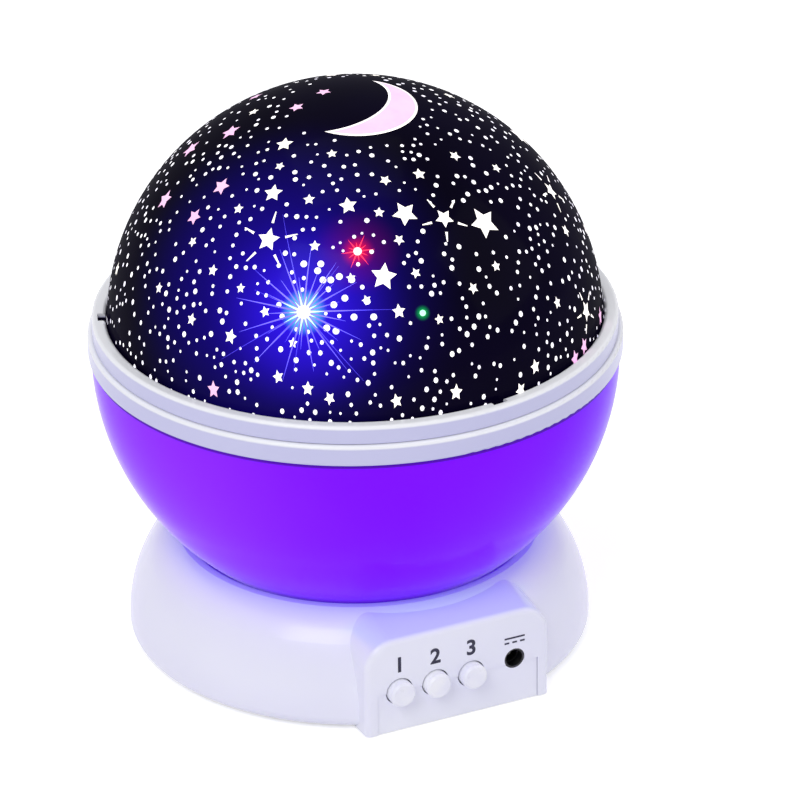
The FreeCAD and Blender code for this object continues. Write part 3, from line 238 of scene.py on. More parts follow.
class Paint:
    """Builds one material from nodes."""

    def __init__(self, name, colour=(0.8, 0.8, 0.8, 1), **sockets):
        self.material = bpy.data.materials.new(name)
        self.material.use_nodes = True
        self.nodes = self.material.node_tree.nodes
        self.links = self.material.node_tree.links
        self.shader = self.nodes["Principled BSDF"]
        self.set("Base Color", colour)
        for socket, value in sockets.items():
            self.set(socket.replace("_", " "), value)
        self.coords = self.node("ShaderNodeTexCoord", {}, (), "Object")

    def put(self, socket, value):
        if isinstance(value, Wire):
            self.links.new(value.socket, socket)
        else:
            socket.default_value = value

    def set(self, socket, value):
        self.put(self.shader.inputs[socket], value)

    def node(self, kind, settings=None, values=(), output=0):
        node = self.nodes.new(kind)
        for key, value in (settings or {}).items():
            setattr(node, key, value)
        pairs = values.items() if isinstance(values, dict) else enumerate(values)
        for key, value in pairs:
            self.put(node.inputs[key], value)
        return Wire(self, node.outputs[output])

    def axes(self):
        """The X, Y and Z places on the object, in metres."""
        split = self.nodes.new("ShaderNodeSeparateXYZ")
        self.links.new(self.coords.socket, split.inputs[0])
        return [Wire(self, split.outputs[i]) for i in range(3)]

    def noise(self, scale, detail=3.0, roughness=0.5):
        values = {"Vector": self.coords, "Scale": scale, "Detail": detail, "Roughness": roughness}
        return self.node("ShaderNodeTexNoise", {}, values, "Fac")

    def mix(self, factor, first, second):
        node = self.nodes.new("ShaderNodeMix")
        node.data_type = "RGBA"
        self.put(node.inputs[0], factor)
        self.put(node.inputs[6], first)
        self.put(node.inputs[7], second)
        return Wire(self, node.outputs[2])

    def far_from(self, place):
        """The distance from a place on the object, in metres."""
        values = (self.coords, tuple(place))
        return self.node("ShaderNodeVectorMath", {"operation": "DISTANCE"}, values, "Value")

    def bump(self, height, strength, distance):
        values = {"Strength": strength, "Distance": distance, "Height": height}
        self.set("Normal", self.node("ShaderNodeBump", {}, values))

    def moulded(self, colour, shade, spread, grain):
        """Moulded plastic: slight clouding, uneven gloss and a faint skin texture."""
        cloud = self.noise(spread, 3.0).ramp(0.3, 0.7)
        self.set("Base Color", self.mix(cloud, colour, shade))
        self.set("Roughness", 0.22 + self.noise(spread * 3, 4.0) * 0.14)
        self.bump(self.noise(1600.0, 2.0), grain, 0.0002)


# Materials


def shell_plastic(name, props):
    """The base's white plastic, a little blue, with the bowl's blue light painted on near the cup and on the
    box top.
    """
    paint = Paint(name, IOR=1.46)
    x, y, z = paint.axes()
    cloud = paint.noise(18.0, 2.0).ramp(0.3, 0.75)
    body = paint.mix(cloud, tuple(props.base_colour) + (1,), srgb(236, 237, 251))
    radius = (x * x + y * y).power(0.5)
    # Painted light: the bowl's blue light laid on the base round the cup
    painted_cup_light = (1 - radius.ramp(*CUP_LIGHT_RADII)) * z.ramp(*CUP_LIGHT_HEIGHTS)
    body = paint.mix(painted_cup_light * 0.3, body, srgb(190, 214, 250))
    forward = -1 * y
    # Painted light: a pale blue pool of the bowl's light on the box top
    painted_box_light = (1 - forward.ramp(*BOX_LIGHT_FRONT)) * forward.ramp(*BOX_LIGHT_BACK) * z.ramp(*BOX_LIGHT_HEIGHTS)
    paint.set("Base Color", paint.mix(painted_box_light * 0.3, body, srgb(206, 240, 250)))
    paint.set("Roughness", 0.18 + paint.noise(60.0, 2.0) * 0.08)
    return paint.material


def ring_plastic(name, props, edge):
    """Lavender plastic with a painted highlight on its rounded upper edge, from a given height up."""
    paint = Paint(name, IOR=1.46)
    z = paint.axes()[2]
    cloud = paint.noise(20.0, 2.0).ramp(0.3, 0.7)
    body = paint.mix(cloud * 0.5, tuple(props.ring_colour) + (1,), srgb(200, 200, 236))
    # Painted highlight: the ring goes near white from that height to its top
    paint.set("Base Color", paint.mix(z.ramp(edge, edge + 0.0005) * 0.9, body, srgb(250, 251, 255)))
    paint.set("Roughness", 0.2 + paint.noise(80.0, 2.0) * 0.08)
    return paint.material


def bowl_plastic(name, props):
    """The lit bowl: deep violet low at the middle, paler at its left side where light is painted on, with a
    painted shadow under the ring and a clear gloss.
    """
    paint = Paint(name, IOR=1.47, Specular_IOR_Level=0.0, Coat_Weight=0.6, Coat_IOR=1.2,
                  Coat_Roughness=0.12, Sheen_Weight=0.65, Sheen_Roughness=0.2)
    z = paint.axes()[2]
    core = tuple(props.bowl_colour) + (1,)
    # Painted light: the bowl grows paler towards its left side
    left = 1 - paint.far_from(BOWL_LIGHT_PLACE).ramp(*BOWL_LIGHT_REACH)
    body = paint.mix(left * 0.5, core, srgb(150, 52, 255))
    low = 1 - z.ramp(*BOWL_LOW_HEIGHTS)
    body = paint.mix(low * 0.45, body, srgb(108, 0, 224))
    cloud = paint.noise(24.0, 2.0).ramp(0.3, 0.7)
    body = paint.mix(cloud * 0.06, body, srgb(150, 60, 255))
    # Painted shadow: a dark violet band just under the lower ring
    ring_shadow = z.ramp(BOWL_TOP - RING_SHADOW_DEPTHS[0], BOWL_TOP - RING_SHADOW_DEPTHS[1])
    body = paint.mix(ring_shadow * 0.75, body, srgb(52, 10, 120))
    paint.set("Base Color", body)
    paint.set("Emission Color", body)
    paint.set("Emission Strength", 0.3)
    paint.set("Roughness", 0.3 + paint.noise(60.0, 2.0) * 0.06)
    return paint.material


def dome_film(name, props):
    """Dark film with a deep blue glow painted on for a good way round the lamps behind it."""
    paint = Paint(name, Specular_IOR_Level=0.0, Coat_Weight=0.05, Coat_Roughness=0.12)
    night = tuple(props.dome_colour) + (1,)
    cloud = paint.noise(22.0, 3.0).ramp(0.35, 0.7)
    paint.set("Base Color", paint.mix(cloud, night, srgb(6, 2, 26)))
    # Painted glow: the lamps' light laid on the film by distance from each lamp
    glow = srgb(1, 0, 9)
    for place, full, end, softness, weight, colour in GLOWS:
        light = 1 - paint.far_from(on_dome(*place)).ramp(full, end)
        glow = paint.mix(light.power(softness) * weight, glow, srgb(*colour))
    paint.set("Emission Color", glow)
    paint.set("Emission Strength", 1.0)
    paint.set("Roughness", 0.4 + paint.noise(110.0, 3.0) * 0.12)
    return paint.material


def lit_figure(name, colour, shade, strength):
    """Clear film lit from behind, a little uneven; the painted lamp flares use it too."""
    paint = Paint(name, Roughness=0.35)
    cloud = paint.noise(160.0, 3.0).ramp(0.35, 0.7)
    body = paint.mix(cloud, colour, shade)
    paint.set("Base Color", body)
    paint.set("Emission Color", body)
    paint.set("Emission Strength", strength)
    return paint.material


def soft_rubber(name):
    """Matt black rubber with a coarse skin."""
    paint = Paint(name, srgb(24, 24, 27), IOR=1.5)
    paint.set("Roughness", 0.6 + paint.noise(300.0, 3.0) * 0.25)
    paint.bump(paint.noise(2200.0, 3.0), 0.2, 0.0003)
    return paint.material


def metal(name, colour, shade, low=0.24):
    """Plated metal, no smoother than low."""
    paint = Paint(name, Metallic=1.0)
    paint.set("Base Color", paint.mix(paint.noise(240.0, 4.0).ramp(0.3, 0.7), colour, shade))
    paint.set("Roughness", low + paint.noise(500.0, 4.0) * 0.2)
    paint.bump(paint.noise(1800.0, 2.0), 0.03, 0.0001)
    return paint.material


def plain_plastic(name, colour, shade):
    """Moulded plastic between two close colours."""
    paint = Paint(name, IOR=1.47)
    paint.moulded(colour, shade, 120.0, 0.05)
    return paint.material


def board_lacquer(name):
    """Green lacquer with faint copper tracks under it."""
    paint = Paint(name, IOR=1.5)
    x, _, z = paint.axes()
    rows = paint.node("ShaderNodeMath", {"operation": "PINGPONG"}, (x + z, 0.0016))
    track = 1 - rows.ramp(0.0003, 0.0005)
    patches = paint.noise(120.0, 1.0).ramp(0.50, 0.54)
    paint.set("Base Color", paint.mix(track * patches, srgb(14, 84, 44), srgb(30, 124, 62)))
    paint.set("Roughness", 0.3 + paint.noise(300.0, 3.0) * 0.15)
    return paint.material


def cell_wrap(name):
    """A dark wrap with a copper-coloured end band."""
    paint = Paint(name, Metallic=0.35)
    y = paint.axes()[1]
    band = y.ramp(*CELL_BAND_PLACES)
    paint.set("Base Color", paint.mix(band, srgb(32, 36, 52), srgb(188, 120, 62)))
    paint.set("Roughness", 0.25 + paint.noise(260.0, 3.0) * 0.12)
    return paint.material


def lamp_lens(name, colour, strength):
    """A lit lamp's coloured lens."""
    paint = Paint(name, colour, Roughness=0.12, IOR=1.5)
    paint.set("Emission Color", paint.mix(paint.noise(300.0, 2.0).ramp(0.3, 0.8), colour, (1, 1, 1, 1)))
    paint.set("Emission Strength", strength)
    return paint.material


def mark_ink(name):
    """Dark ink of the numbers and the sign."""
    paint = Paint(name, IOR=1.45)
    cloud = paint.noise(900.0, 3.0).ramp(0.3, 0.7)
    paint.set("Base Color", paint.mix(cloud, srgb(30, 28, 50), srgb(46, 44, 72)))
    paint.set("Roughness", 0.45)
    return paint.material


def dress(material, *nodes):
    """Gives pieces of the frame one finish."""
    for name in nodes:
        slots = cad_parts[name].data.materials
        slots.clear()
        slots.append(material)


# Modelling helpers


def on_dome(compass, height, proud=0.0):
    """A place on the dome's outside from its compass and height angles in degrees."""
    a, h = math.radians(compass), math.radians(height)
    r = DOME_R + proud
    flat = r * math.cos(h)
    return DOME_CENTRE + Vector((flat * math.cos(a), flat * math.sin(a), r * math.sin(h)))


def deselect():
    """Leaves edit mode with nothing selected."""
    if bpy.context.object and bpy.context.object.mode != "OBJECT":
        bpy.ops.object.mode_set(mode="OBJECT")
    bpy.ops.object.select_all(action="DESELECT")


def settle(obj, name, material, body):
    """Puts a finished piece's place in its mesh, gives its finish and lets it ride."""
    deselect()
    obj.select_set(True)
    bpy.context.view_layer.objects.active = obj
    bpy.ops.object.transform_apply(location=True, rotation=True, scale=True)
    obj.name = name
    obj.data.name = name
    obj.data.materials.clear()
    obj.data.materials.append(material)
    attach(obj, body)
    return obj


def patch_on_dome(mesh, outline, compass, height, stretch=1.0, lift=SKIN):
    """Lays a flat outline, in mm about its middle, on the dome as one face fan."""
    middle = on_dome(compass, height)
    normal = (middle - DOME_CENTRE).normalized()
    across = Vector((0, 0, 1)).cross(normal)
    across = across.normalized() if across.length > 1e-6 else Vector((1, 0, 0))
    along = normal.cross(across)

    def spot(u, v):
        p = middle + across * (u * MM) + along * (v * MM * stretch)
        return DOME_CENTRE + (p - DOME_CENTRE).normalized() * (DOME_R + lift)

    hub = mesh.verts.new(spot(0, 0))
    ring = [mesh.verts.new(spot(u, v)) for u, v in outline]
    for i, vert in enumerate(ring):
        mesh.faces.new((hub, vert, ring[(i + 1) % len(ring)]))


def star_outline(radius, turn):
    """Ten points of a slightly plump five-pointed star."""
    points = []
    for i in range(10):
        r = radius * (STAR_POINT if i % 2 == 0 else STAR_CORNER)
        a = math.radians(90 + turn + i * 36)
        points.append((r * math.cos(a), r * math.sin(a)))
    return points


def dot_outline(radius, sides=8):
    """The corners of a round dot."""
    step = 2 * math.pi / sides
    return [(radius * math.cos(i * step), radius * math.sin(i * step)) for i in range(sides)]


def mesh_piece(name, build, material, body):
    """A new piece whose faces a function adds."""
    data = bpy.data.meshes.new(name)
    obj = bpy.data.objects.new(name, data)
    bpy.context.scene.collection.objects.link(obj)
    mesh = bmesh.new()
    build(mesh)
    mesh.to_mesh(data)
    mesh.free()
    return settle(obj, name, material, body)


# Sizes and colours that a user would change


class StarDomeProps(bpy.types.PropertyGroup):
    dome_colour: FloatVectorProperty(
        name="Dome colour", description="The dark film between the stars",
        subtype="COLOR", size=3, min=0, max=1, default=srgb(3, 1, 14)[:3])
    dot_count: IntProperty(
        name="Dots", description="How many small dots the film has", default=1420, min=0, max=4000)
    dot_size: FloatProperty(
        name="Dot size", description="Radius of a middling dot in millimetres", default=0.45, min=0.1, max=2)
    seed: IntProperty(name="Scatter", description="Which scatter of dots is used", default=7, min=0)


class BodyProps(bpy.types.PropertyGroup):
    base_colour: FloatVectorProperty(
        name="Base colour", description="The base's plastic",
        subtype="COLOR", size=3, min=0, max=1, default=srgb(242, 243, 254)[:3])
    ring_colour: FloatVectorProperty(
        name="Ring colour", description="The two rings' plastic",
        subtype="COLOR", size=3, min=0, max=1, default=srgb(206, 206, 240)[:3])
    bowl_colour: FloatVectorProperty(
        name="Bowl colour", description="The lit bowl at its deepest",
        subtype="COLOR", size=3, min=0, max=1, default=srgb(118, 0, 250)[:3])


class StageProps(bpy.types.PropertyGroup):
    lens: FloatProperty(
        name="Lens", description="Focal length of the camera in millimetres", default=270.0, min=20)
    distance: FloatProperty(
        name="Distance", description="From the camera to the lamp's axis",
        default=1.4346, unit="LENGTH", min=0.2)


# Star dome


class DressDome(bpy.types.Operator):
    """Gives the dome its dark film and the painted glow of the lamps behind it"""
    bl_idname = "starlight.dress_dome"
    bl_label = "Dome film"

    def execute(self, context):
        dress(dome_film("Dome film", context.scene.star_dome), "star_dome")
        return {"FINISHED"}


class AddStars(bpy.types.Operator):
    """Lays the stars and the crescent on the dome"""
    bl_idname = "starlight.add_stars"
    bl_label = "Stars and crescent"

    def execute(self, context):
        cream = lit_figure("Lit cream film", srgb(255, 250, 240), srgb(240, 232, 236), 0.85)
        pink = lit_figure("Lit pink film", srgb(247, 186, 232), srgb(250, 196, 238), 0.42)
        mesh_piece("cream_stars", self.cream, cream, "dome")
        mesh_piece("pink_stars", self.pink, pink, "dome")
        mesh_piece("crescent_edge", lambda m: self.moon(m, 0, SKIN), cream, "dome")
        mesh_piece("crescent", lambda m: self.moon(m, MOON_EDGE, 2 * SKIN), pink, "dome")
        return {"FINISHED"}

    def cream(self, mesh):
        for compass, height, radius, turn in CREAM_STARS + FAR_SIDE_STARS:
            patch_on_dome(mesh, star_outline(radius, turn), compass, height, stretch(height))
        for compass, height, radius, turn in RAYED_STARS:
            patch_on_dome(mesh, star_outline(radius, turn), compass, height, stretch(height))
            self.rays(mesh, compass, height, radius, turn)

    def rays(self, mesh, compass, height, radius, turn):
        """Five thin tapering dashes, one beyond each point of a star."""
        for i in range(5):
            a = math.radians(90 + turn + i * 72)
            inner, outer = radius * RAY_START, radius * RAY_END
            tip = RAY_HALF * 0.4
            corners = [(inner, -RAY_HALF), (outer, -tip), (outer, tip), (inner, RAY_HALF)]
            c, s = math.cos(a), math.sin(a)
            turned = [(u * c - v * s, u * s + v * c) for u, v in corners]
            middle = (sum(u for u, v in turned) / 4, sum(v for u, v in turned) / 4)
            place = shifted(compass, height, *middle)
            centred = [(u - middle[0], v - middle[1]) for u, v in turned]
            patch_on_dome(mesh, centred, *place, 1.0)

    def pink(self, mesh):
        for compass, height, radius, turn in PINK_STARS:
            patch_on_dome(mesh, star_outline(radius, turn), compass, height, stretch(height))

    def moon(self, mesh, inset, lift):
        """A crescent: strips between a large arc and the arc that bites it, both drawn in by inset mm."""
        moon_r, bite_r = MOON_R - inset, BITE_R + inset
        apart = Vector(BITE_MIDDLE) - Vector(MOON_MIDDLE)
        d = apart.length
        facing = math.atan2(apart.y, apart.x)
        reach = math.acos((moon_r ** 2 + d ** 2 - bite_r ** 2) / (2 * moon_r * d))
        bite = math.acos((bite_r ** 2 + d ** 2 - moon_r ** 2) / (2 * bite_r * d))
        rows = []
        for i in range(MOON_STEPS + 1):
            t = i / MOON_STEPS
            a = facing + reach + (2 * math.pi - 2 * reach) * t
            b = facing + math.pi - bite + 2 * bite * t
            outer = (MOON_MIDDLE[0] + moon_r * math.cos(a), MOON_MIDDLE[1] + moon_r * math.sin(a))
            inner = (BITE_MIDDLE[0] + bite_r * math.cos(b), BITE_MIDDLE[1] + bite_r * math.sin(b))
            row = []
            for j in range(MOON_STRIPS + 1):
                u = outer[0] + (inner[0] - outer[0]) * j / MOON_STRIPS
                v = outer[1] + (inner[1] - outer[1]) * j / MOON_STRIPS
                row.append(mesh.verts.new(on_dome(*shifted(*MOON_PLACE, u, v), lift)))
            rows.append(row)
        for first, second in zip(rows, rows[1:]):
            for j in range(MOON_STRIPS):
                mesh.faces.new((first[j], second[j], second[j + 1], first[j + 1]))
        bmesh.ops.remove_doubles(mesh, verts=mesh.verts, dist=1e-6)


def stretch(height):
    """The drawn film stretches its print towards the rim."""
    low = 1 - math.sin(math.radians(max(height, 0)))
    return 1 + 0.4 * low ** 2


def shifted(compass, height, u, v):
    """The place that lies u mm across and v mm up the dome from a place."""
    middle = on_dome(compass, height)
    normal = (middle - DOME_CENTRE).normalized()
    across = Vector((0, 0, 1)).cross(normal).normalized()
    along = normal.cross(across)
    p = (middle + across * u * MM + along * v * MM - DOME_CENTRE).normalized()
    return math.degrees(math.atan2(p.y, p.x)), math.degrees(math.asin(p.z))


class AddDots(bpy.types.Operator):
    """Scatters the small dots between the stars"""
    bl_idname = "starlight.add_dots"
    bl_label = "Dots"

    def execute(self, context):
        self.props = context.scene.star_dome
        white = lit_figure("Lit dot film", srgb(250, 248, 252), srgb(226, 222, 240), 0.8)
        mesh_piece("dome_dots", self.dots, white, "dome")
        return {"FINISHED"}

    def dots(self, mesh):
        draw = random.Random(self.props.seed)
        taken = []
        for compass, height, radius, turn in CREAM_STARS + PINK_STARS + FAR_SIDE_STARS:
            taken.append((on_dome(compass, height), (radius + 0.9) * MM))
        for compass, height, radius, turn in RAYED_STARS:
            taken.append((on_dome(compass, height), radius * 1.5 * MM))
        taken.append((on_dome(*shifted(*MOON_PLACE, *MOON_MIDDLE)), (MOON_R + 0.8) * MM))
        for lamp, reach in LAMP_CLEAR:
            taken.append((on_dome(*lamp), reach * MM))
        for place in BRIGHT_DOTS:
            taken.append((on_dome(*place), BRIGHT_DOT_CLEAR * MM))
            patch_on_dome(mesh, dot_outline(BRIGHT_DOT_R, 10), *place)
        # Evenly spread over the dome's area
        lowest, highest = math.sin(math.radians(2.5)), math.sin(math.radians(86))
        made = 0
        for _ in range(self.props.dot_count * 12):
            if made >= self.props.dot_count:
                break
            compass = draw.uniform(-180, 180)
            height = math.degrees(math.asin(draw.uniform(lowest, highest)))
            size = self.props.dot_size * draw.choice((0.7, 0.85, 1.0, 1.0, 1.15, 1.35))
            # Dots shrink towards the rim
            size *= 0.78 + 0.22 * min(1, height / 22)
            place = on_dome(compass, height)
            room = draw.uniform(1.5, 2.3) * MM
            if any((place - other).length < reach + room * 0.5 for other, reach in taken):
                continue
            taken.append((place, room * 0.5))
            patch_on_dome(mesh, dot_outline(size), compass, height, stretch(height))
            made += 1


class AddFlares(bpy.types.Operator):
    """Adds painted starbursts and glowing cores of the blue, red and green lamps behind the film, laid on
    the dome
    """
    bl_idname = "starlight.add_flares"
    bl_label = "Lamp flares"

    def execute(self, context):
        blue = lit_figure("Blue flare", srgb(112, 98, 255), srgb(84, 70, 255), 0.9)
        faint = lit_figure("Faint flare", srgb(70, 52, 226), srgb(52, 34, 200), 0.8)
        pale = lit_figure("Pale flare", srgb(186, 226, 255), srgb(150, 216, 255), 1.0)
        white = lit_figure("Lamp core", srgb(250, 255, 255), srgb(240, 255, 255), 1.0)
        red = lit_figure("Red flare", srgb(255, 40, 84), srgb(255, 20, 70), 0.9)
        rosy = lit_figure("Red lamp core", srgb(255, 206, 214), srgb(255, 170, 186), 1.0)
        green = lit_figure("Green lamp glow", srgb(170, 255, 206), srgb(110, 250, 170), 1.0)
        burst, core = self.burst, self.core
        mesh_piece("blue_flare", lambda m: burst(m, BLUE_LAMP, rays=26, length=17.0, half=0.24, lift=0.10),
                   blue, "dome")
        mesh_piece("long_flare", lambda m: burst(m, BLUE_LAMP, rays=7, length=27.0, half=0.16, lift=0.09),
                   faint, "dome")
        mesh_piece("pale_flare", lambda m: burst(m, BLUE_LAMP, rays=14, length=6.0, half=0.34, lift=0.13),
                   pale, "dome")
        mesh_piece("blue_core", lambda m: core(m, BLUE_LAMP, radius=1.5, lift=0.16), white, "dome")
        mesh_piece("red_flare", lambda m: burst(m, RED_LAMP, rays=12, length=4.4, half=0.20, lift=0.10),
                   red, "dome")
        mesh_piece("red_core", lambda m: core(m, RED_LAMP, radius=0.95, lift=0.16), rosy, "dome")
        mesh_piece("green_lamp_glow", lambda m: core(m, GREEN_LAMP, radius=0.7, lift=0.12), green, "dome")
        return {"FINISHED"}

    def core(self, mesh, place, radius, lift):
        patch_on_dome(mesh, dot_outline(radius, 20), *place, 1.0, lift * MM)

    def burst(self, mesh, place, rays, length, half, lift):
        """Painted starburst rays, thin, tapering and long and short in turn, that lie on the dome. Sizes are
        in mm.
        """
        draw = random.Random(rays)
        for i in range(rays):
            a = math.radians(i * 360 / rays + 7)
            reach = length * (1.0 if i % 2 == 0 else 0.6) * draw.uniform(0.78, 1.0)
            pieces = 6
            left, right = [], []
            for j in range(pieces + 1):
                u = reach * j / pieces
                w = half * (1 - j / pieces) + 0.02
                for side, row in ((-1, left), (1, right)):
                    across = u * math.cos(a) - side * w * math.sin(a)
                    up = u * math.sin(a) + side * w * math.cos(a)
                    row.append(mesh.verts.new(on_dome(*shifted(*place, across, up), lift * MM)))
            for j in range(pieces):
                mesh.faces.new((left[j], left[j + 1], right[j + 1], right[j]))


# Bowl, rings and base


class DressBody(bpy.types.Operator):
    """Gives the bowl, rings, base and buttons their plastics"""
    bl_idname = "starlight.dress_body"
    bl_label = "Bowl, rings and base"

    def execute(self, context):
        props = context.scene.star_body
        dress(bowl_plastic("Lit bowl plastic", props), "bowl")
        dress(ring_plastic("Lower ring plastic", props, BOWL_RING_TOP - RING_HIGHLIGHT_DEPTH), "bowl_ring")
        dress(ring_plastic("Upper ring plastic", props, DOME_RING_TOP - RING_HIGHLIGHT_DEPTH), "dome_ring")
        dress(shell_plastic("Base plastic", props), "base_shell", "base_cover", "battery_door")
        button = plain_plastic("Button plastic", srgb(250, 251, 255), srgb(240, 241, 252))
        dress(button, "button_1", "button_2", "button_3")
        return {"FINISHED"}


class DressInside(bpy.types.Operator):
    """Finishes the works inside, the feet, the screws and the socket"""
    bl_idname = "starlight.dress_inside"
    bl_label = "Works and small parts"

    def execute(self, context):
        steel = metal("Zinc steel", srgb(176, 178, 184), srgb(152, 154, 162))
        tin = metal("Tinned contact", srgb(206, 204, 196), srgb(180, 178, 170), 0.18)
        dress(steel, "case_screws", "gear_screws", "post_screws", "board_screws", "motor_screws",
              "motor_shaft", "gear_axle", "motor_can", "motor_bracket")
        dress(tin, "battery_springs", "battery_contacts", "jack_pin")
        nylon = plain_plastic("Natural nylon", srgb(232, 230, 222), srgb(216, 213, 202))
        dress(nylon, "switch_plunger_1", "switch_plunger_2", "switch_plunger_3", "reduction_gear",
              "bowl_gear", "motor_pinion", "thrust_washer", "light_post")
        black = plain_plastic("Black nylon", srgb(16, 16, 18), srgb(26, 26, 30))
        dress(black, "dc_jack", "switch_body_1", "switch_body_2", "switch_body_3")
        dress(board_lacquer("Board lacquer"), "control_board", "led_board")
        cells = ["battery_cell_%d" % i for i in (1, 2, 3, 4)]
        dress(cell_wrap("Cell wrap"), *cells)
        dress(soft_rubber("Foot rubber"), "rubber_feet")
        jacket = plain_plastic("Lead jacket", srgb(176, 24, 22), srgb(140, 14, 16))
        dress(jacket, "led_lead", "motor_lead", "battery_lead")
        lamps = {"led_white": srgb(240, 246, 255), "led_blue": srgb(90, 130, 255),
                 "led_green": srgb(60, 240, 120), "led_red": srgb(255, 50, 44)}
        for node, colour in lamps.items():
            dress(lamp_lens(node + " lens", colour, 2.0), node)
        return {"FINISHED"}


# Marks on the control box


class AddMarks(bpy.types.Operator):
    """Prints plain numbers over the buttons and the direct current sign over the socket"""
    bl_idname = "starlight.add_marks"
    bl_label = "Numbers and socket sign"

    def execute(self, context):
        ink = mark_ink("Mark ink")
        for number in (1, 2, 3):
            low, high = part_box("button_%d" % number)
            self.number(str(number), (low[0] + high[0]) / 2, ink)
        self.current_sign((JACK_LOW[0] + JACK_HIGH[0]) / 2, ink)
        return {"FINISHED"}

    def number(self, text, x, ink):
        deselect()
        bpy.ops.object.text_add(location=(x, BOX_FRONT_Y, MARK_Z * MM), rotation=(math.radians(90), 0, 0))
        obj = bpy.context.object
        obj.data.body = text
        obj.data.align_x = "CENTER"
        obj.data.align_y = "CENTER"
        obj.data.size = NUMBER_SIZE * MM
        obj.data.extrude = INK_PROUD * MM
        obj.data.offset = STROKE_SPREAD * MM
        obj.data.resolution_u = 6
        bpy.ops.object.convert(target="MESH")
        settle(bpy.context.object, "number_" + text, ink, "base")

    def current_sign(self, x, ink):
        """A bar over three dashes."""
        bars = [(-SIGN_HALF_WIDTH, SIGN_HALF_WIDTH, MARK_Z)]
        for i in range(3):
            left = -SIGN_HALF_WIDTH + i * SIGN_DASH_STEP
            bars.append((left, left + SIGN_DASH, SIGN_DASH_Z))

        def build(mesh):
            for left, right, z in bars:
                place = Matrix.Translation((x + (left + right) / 2 * MM, BOX_FRONT_Y, z * MM))
                size = Matrix.Diagonal(((right - left) * MM, 2 * INK_PROUD * MM, SIGN_STROKE * MM, 1))
                bmesh.ops.create_cube(mesh, size=1.0, matrix=place @ size)
        mesh_piece("socket_sign", build, ink, "base")


# Stage


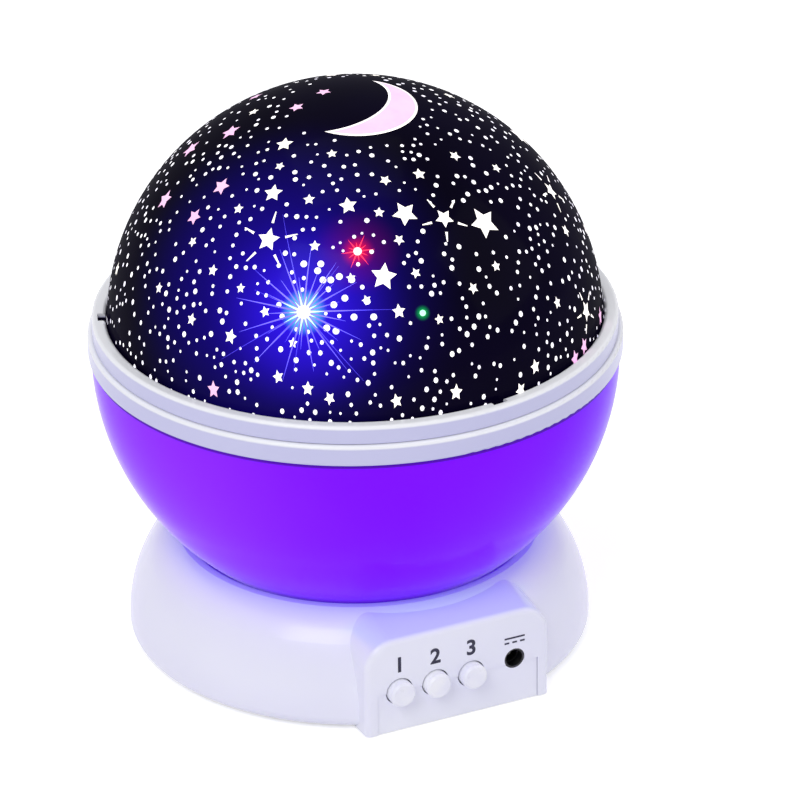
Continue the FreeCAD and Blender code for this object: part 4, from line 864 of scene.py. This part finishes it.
class AddStage(bpy.types.Operator):
    """Adds the floor, the soft lamps, the world and the camera"""
    bl_idname = "starlight.add_stage"
    bl_label = "Stage"

    def execute(self, context):
        self.floor()
        self.world(context.scene)
        for lamp in LAMPS:
            self.lamp(*lamp)
        self.camera(context.scene)
        context.scene.view_settings.view_transform = "Standard"
        return {"FINISHED"}

    def floor(self):
        deselect()
        bpy.ops.mesh.primitive_plane_add(size=8.0, location=(0, 0, -0.0002))
        obj = bpy.context.object
        obj.name = "floor"
        paint = Paint("Pale floor", (0.9, 0.9, 0.92, 1), Roughness=0.7)
        light_path = paint.nodes.new("ShaderNodeLightPath")
        seen = Wire(paint, light_path.outputs["Is Camera Ray"])
        glossy = Wire(paint, light_path.outputs["Is Glossy Ray"])
        through = Wire(paint, light_path.outputs["Is Transmission Ray"])
        shown = (seen + glossy + through).clamp()
        paint.set("Emission Color", paint.mix(shown, (0, 0, 0, 1), (0.45, 0.45, 0.45, 1)))
        paint.set("Emission Strength", 1.0)
        obj.data.materials.append(paint.material)

    def world(self, scene):
        world = bpy.data.worlds.new("Pale room")
        world.use_nodes = True
        scene.world = world
        nodes, links = world.node_tree.nodes, world.node_tree.links
        back = nodes["Background"]
        back.inputs["Color"].default_value = (1, 1, 1, 1)
        path = nodes.new("ShaderNodeLightPath")
        first = nodes.new("ShaderNodeMath")
        first.operation = "MAXIMUM"
        second = nodes.new("ShaderNodeMath")
        second.operation = "MAXIMUM"
        links.new(path.outputs["Is Camera Ray"], first.inputs[0])
        links.new(path.outputs["Is Glossy Ray"], first.inputs[1])
        links.new(first.outputs[0], second.inputs[0])
        links.new(path.outputs["Is Transmission Ray"], second.inputs[1])
        level = nodes.new("ShaderNodeMapRange")
        level.inputs["To Min"].default_value = ROOM_LIGHT
        level.inputs["To Max"].default_value = 1.0
        links.new(second.outputs[0], level.inputs["Value"])
        links.new(level.outputs[0], back.inputs["Strength"])

    def lamp(self, name, place, size, power):
        data = bpy.data.lights.new(name, "AREA")
        data.size = size
        data.energy = power
        obj = bpy.data.objects.new(name, data)
        bpy.context.scene.collection.objects.link(obj)
        obj.location = place
        aim = LAMP_AIM - Vector(place)
        obj.rotation_euler = aim.to_track_quat("-Z", "Y").to_euler()

    def camera(self, scene):
        """Stands the camera where the photograph's stood."""
        props = scene.star_stage
        data = bpy.data.cameras.new("camera")
        data.lens = props.lens
        data.sensor_width = 36.0
        data.clip_end = 20.0
        obj = bpy.data.objects.new("camera", data)
        scene.collection.objects.link(obj)
        turn, tilt, roll = (math.radians(angle) for angle in (CAMERA_TURN, CAMERA_TILT, CAMERA_ROLL))
        right = Vector((math.cos(turn), math.sin(turn), 0))
        level = Vector((-math.sin(turn), math.cos(turn), 0))
        forward = level * math.cos(tilt) - Vector((0, 0, math.sin(tilt)))
        up = right.cross(forward)
        across = right * math.cos(roll) + up * math.sin(roll)
        rise = up * math.cos(roll) - right * math.sin(roll)
        shift = across * SHIFT_ACROSS * MM + rise * SHIFT_UP * MM
        place = Vector((0, 0, SHIFT_Z * MM)) - shift - forward * props.distance
        turned = Matrix((across, rise, -forward)).transposed()
        obj.matrix_world = Matrix.Translation(place) @ turned.to_4x4()
        scene.camera = obj


class StarlightPanel(bpy.types.Panel):
    """Lists the steps that dress the projector"""
    bl_idname = "VIEW3D_PT_starlight"
    bl_label = "Star night light"
    bl_space_type = "VIEW_3D"
    bl_region_type = "UI"
    bl_category = "Star light"

    def draw(self, context):
        scene = context.scene
        for group, names in ((scene.star_dome, ("dome_colour", "dot_count", "dot_size", "seed")),
                             (scene.star_body, ("base_colour", "ring_colour", "bowl_colour")),
                             (scene.star_stage, ("lens", "distance"))):
            for name in names:
                self.layout.prop(group, name)
        for step in STEPS:
            self.layout.operator(step.bl_idname)


STEPS = (AddStage, DressBody, DressInside, DressDome, AddStars, AddDots, AddFlares, AddMarks)
GROUPS = {"star_dome": StarDomeProps, "star_body": BodyProps, "star_stage": StageProps}


def register():
    for group in GROUPS.values():
        bpy.utils.register_class(group)
    for step in STEPS + (StarlightPanel,):
        bpy.utils.register_class(step)
    for name, group in GROUPS.items():
        setattr(bpy.types.Scene, name, PointerProperty(type=group))


def unregister():
    for name in GROUPS:
        delattr(bpy.types.Scene, name)
    for step in reversed(STEPS + (StarlightPanel,)):
        bpy.utils.unregister_class(step)
    for group in GROUPS.values():
        bpy.utils.unregister_class(group)


def main():
    register()
    bpy.ops.starlight.add_stage()
    bpy.ops.starlight.dress_body()
    bpy.ops.starlight.dress_inside()
    bpy.ops.starlight.dress_dome()
    bpy.ops.starlight.add_stars()
    bpy.ops.starlight.add_dots()
    bpy.ops.starlight.add_flares()
    bpy.ops.starlight.add_marks()


if __name__ == "__main__":
    main()
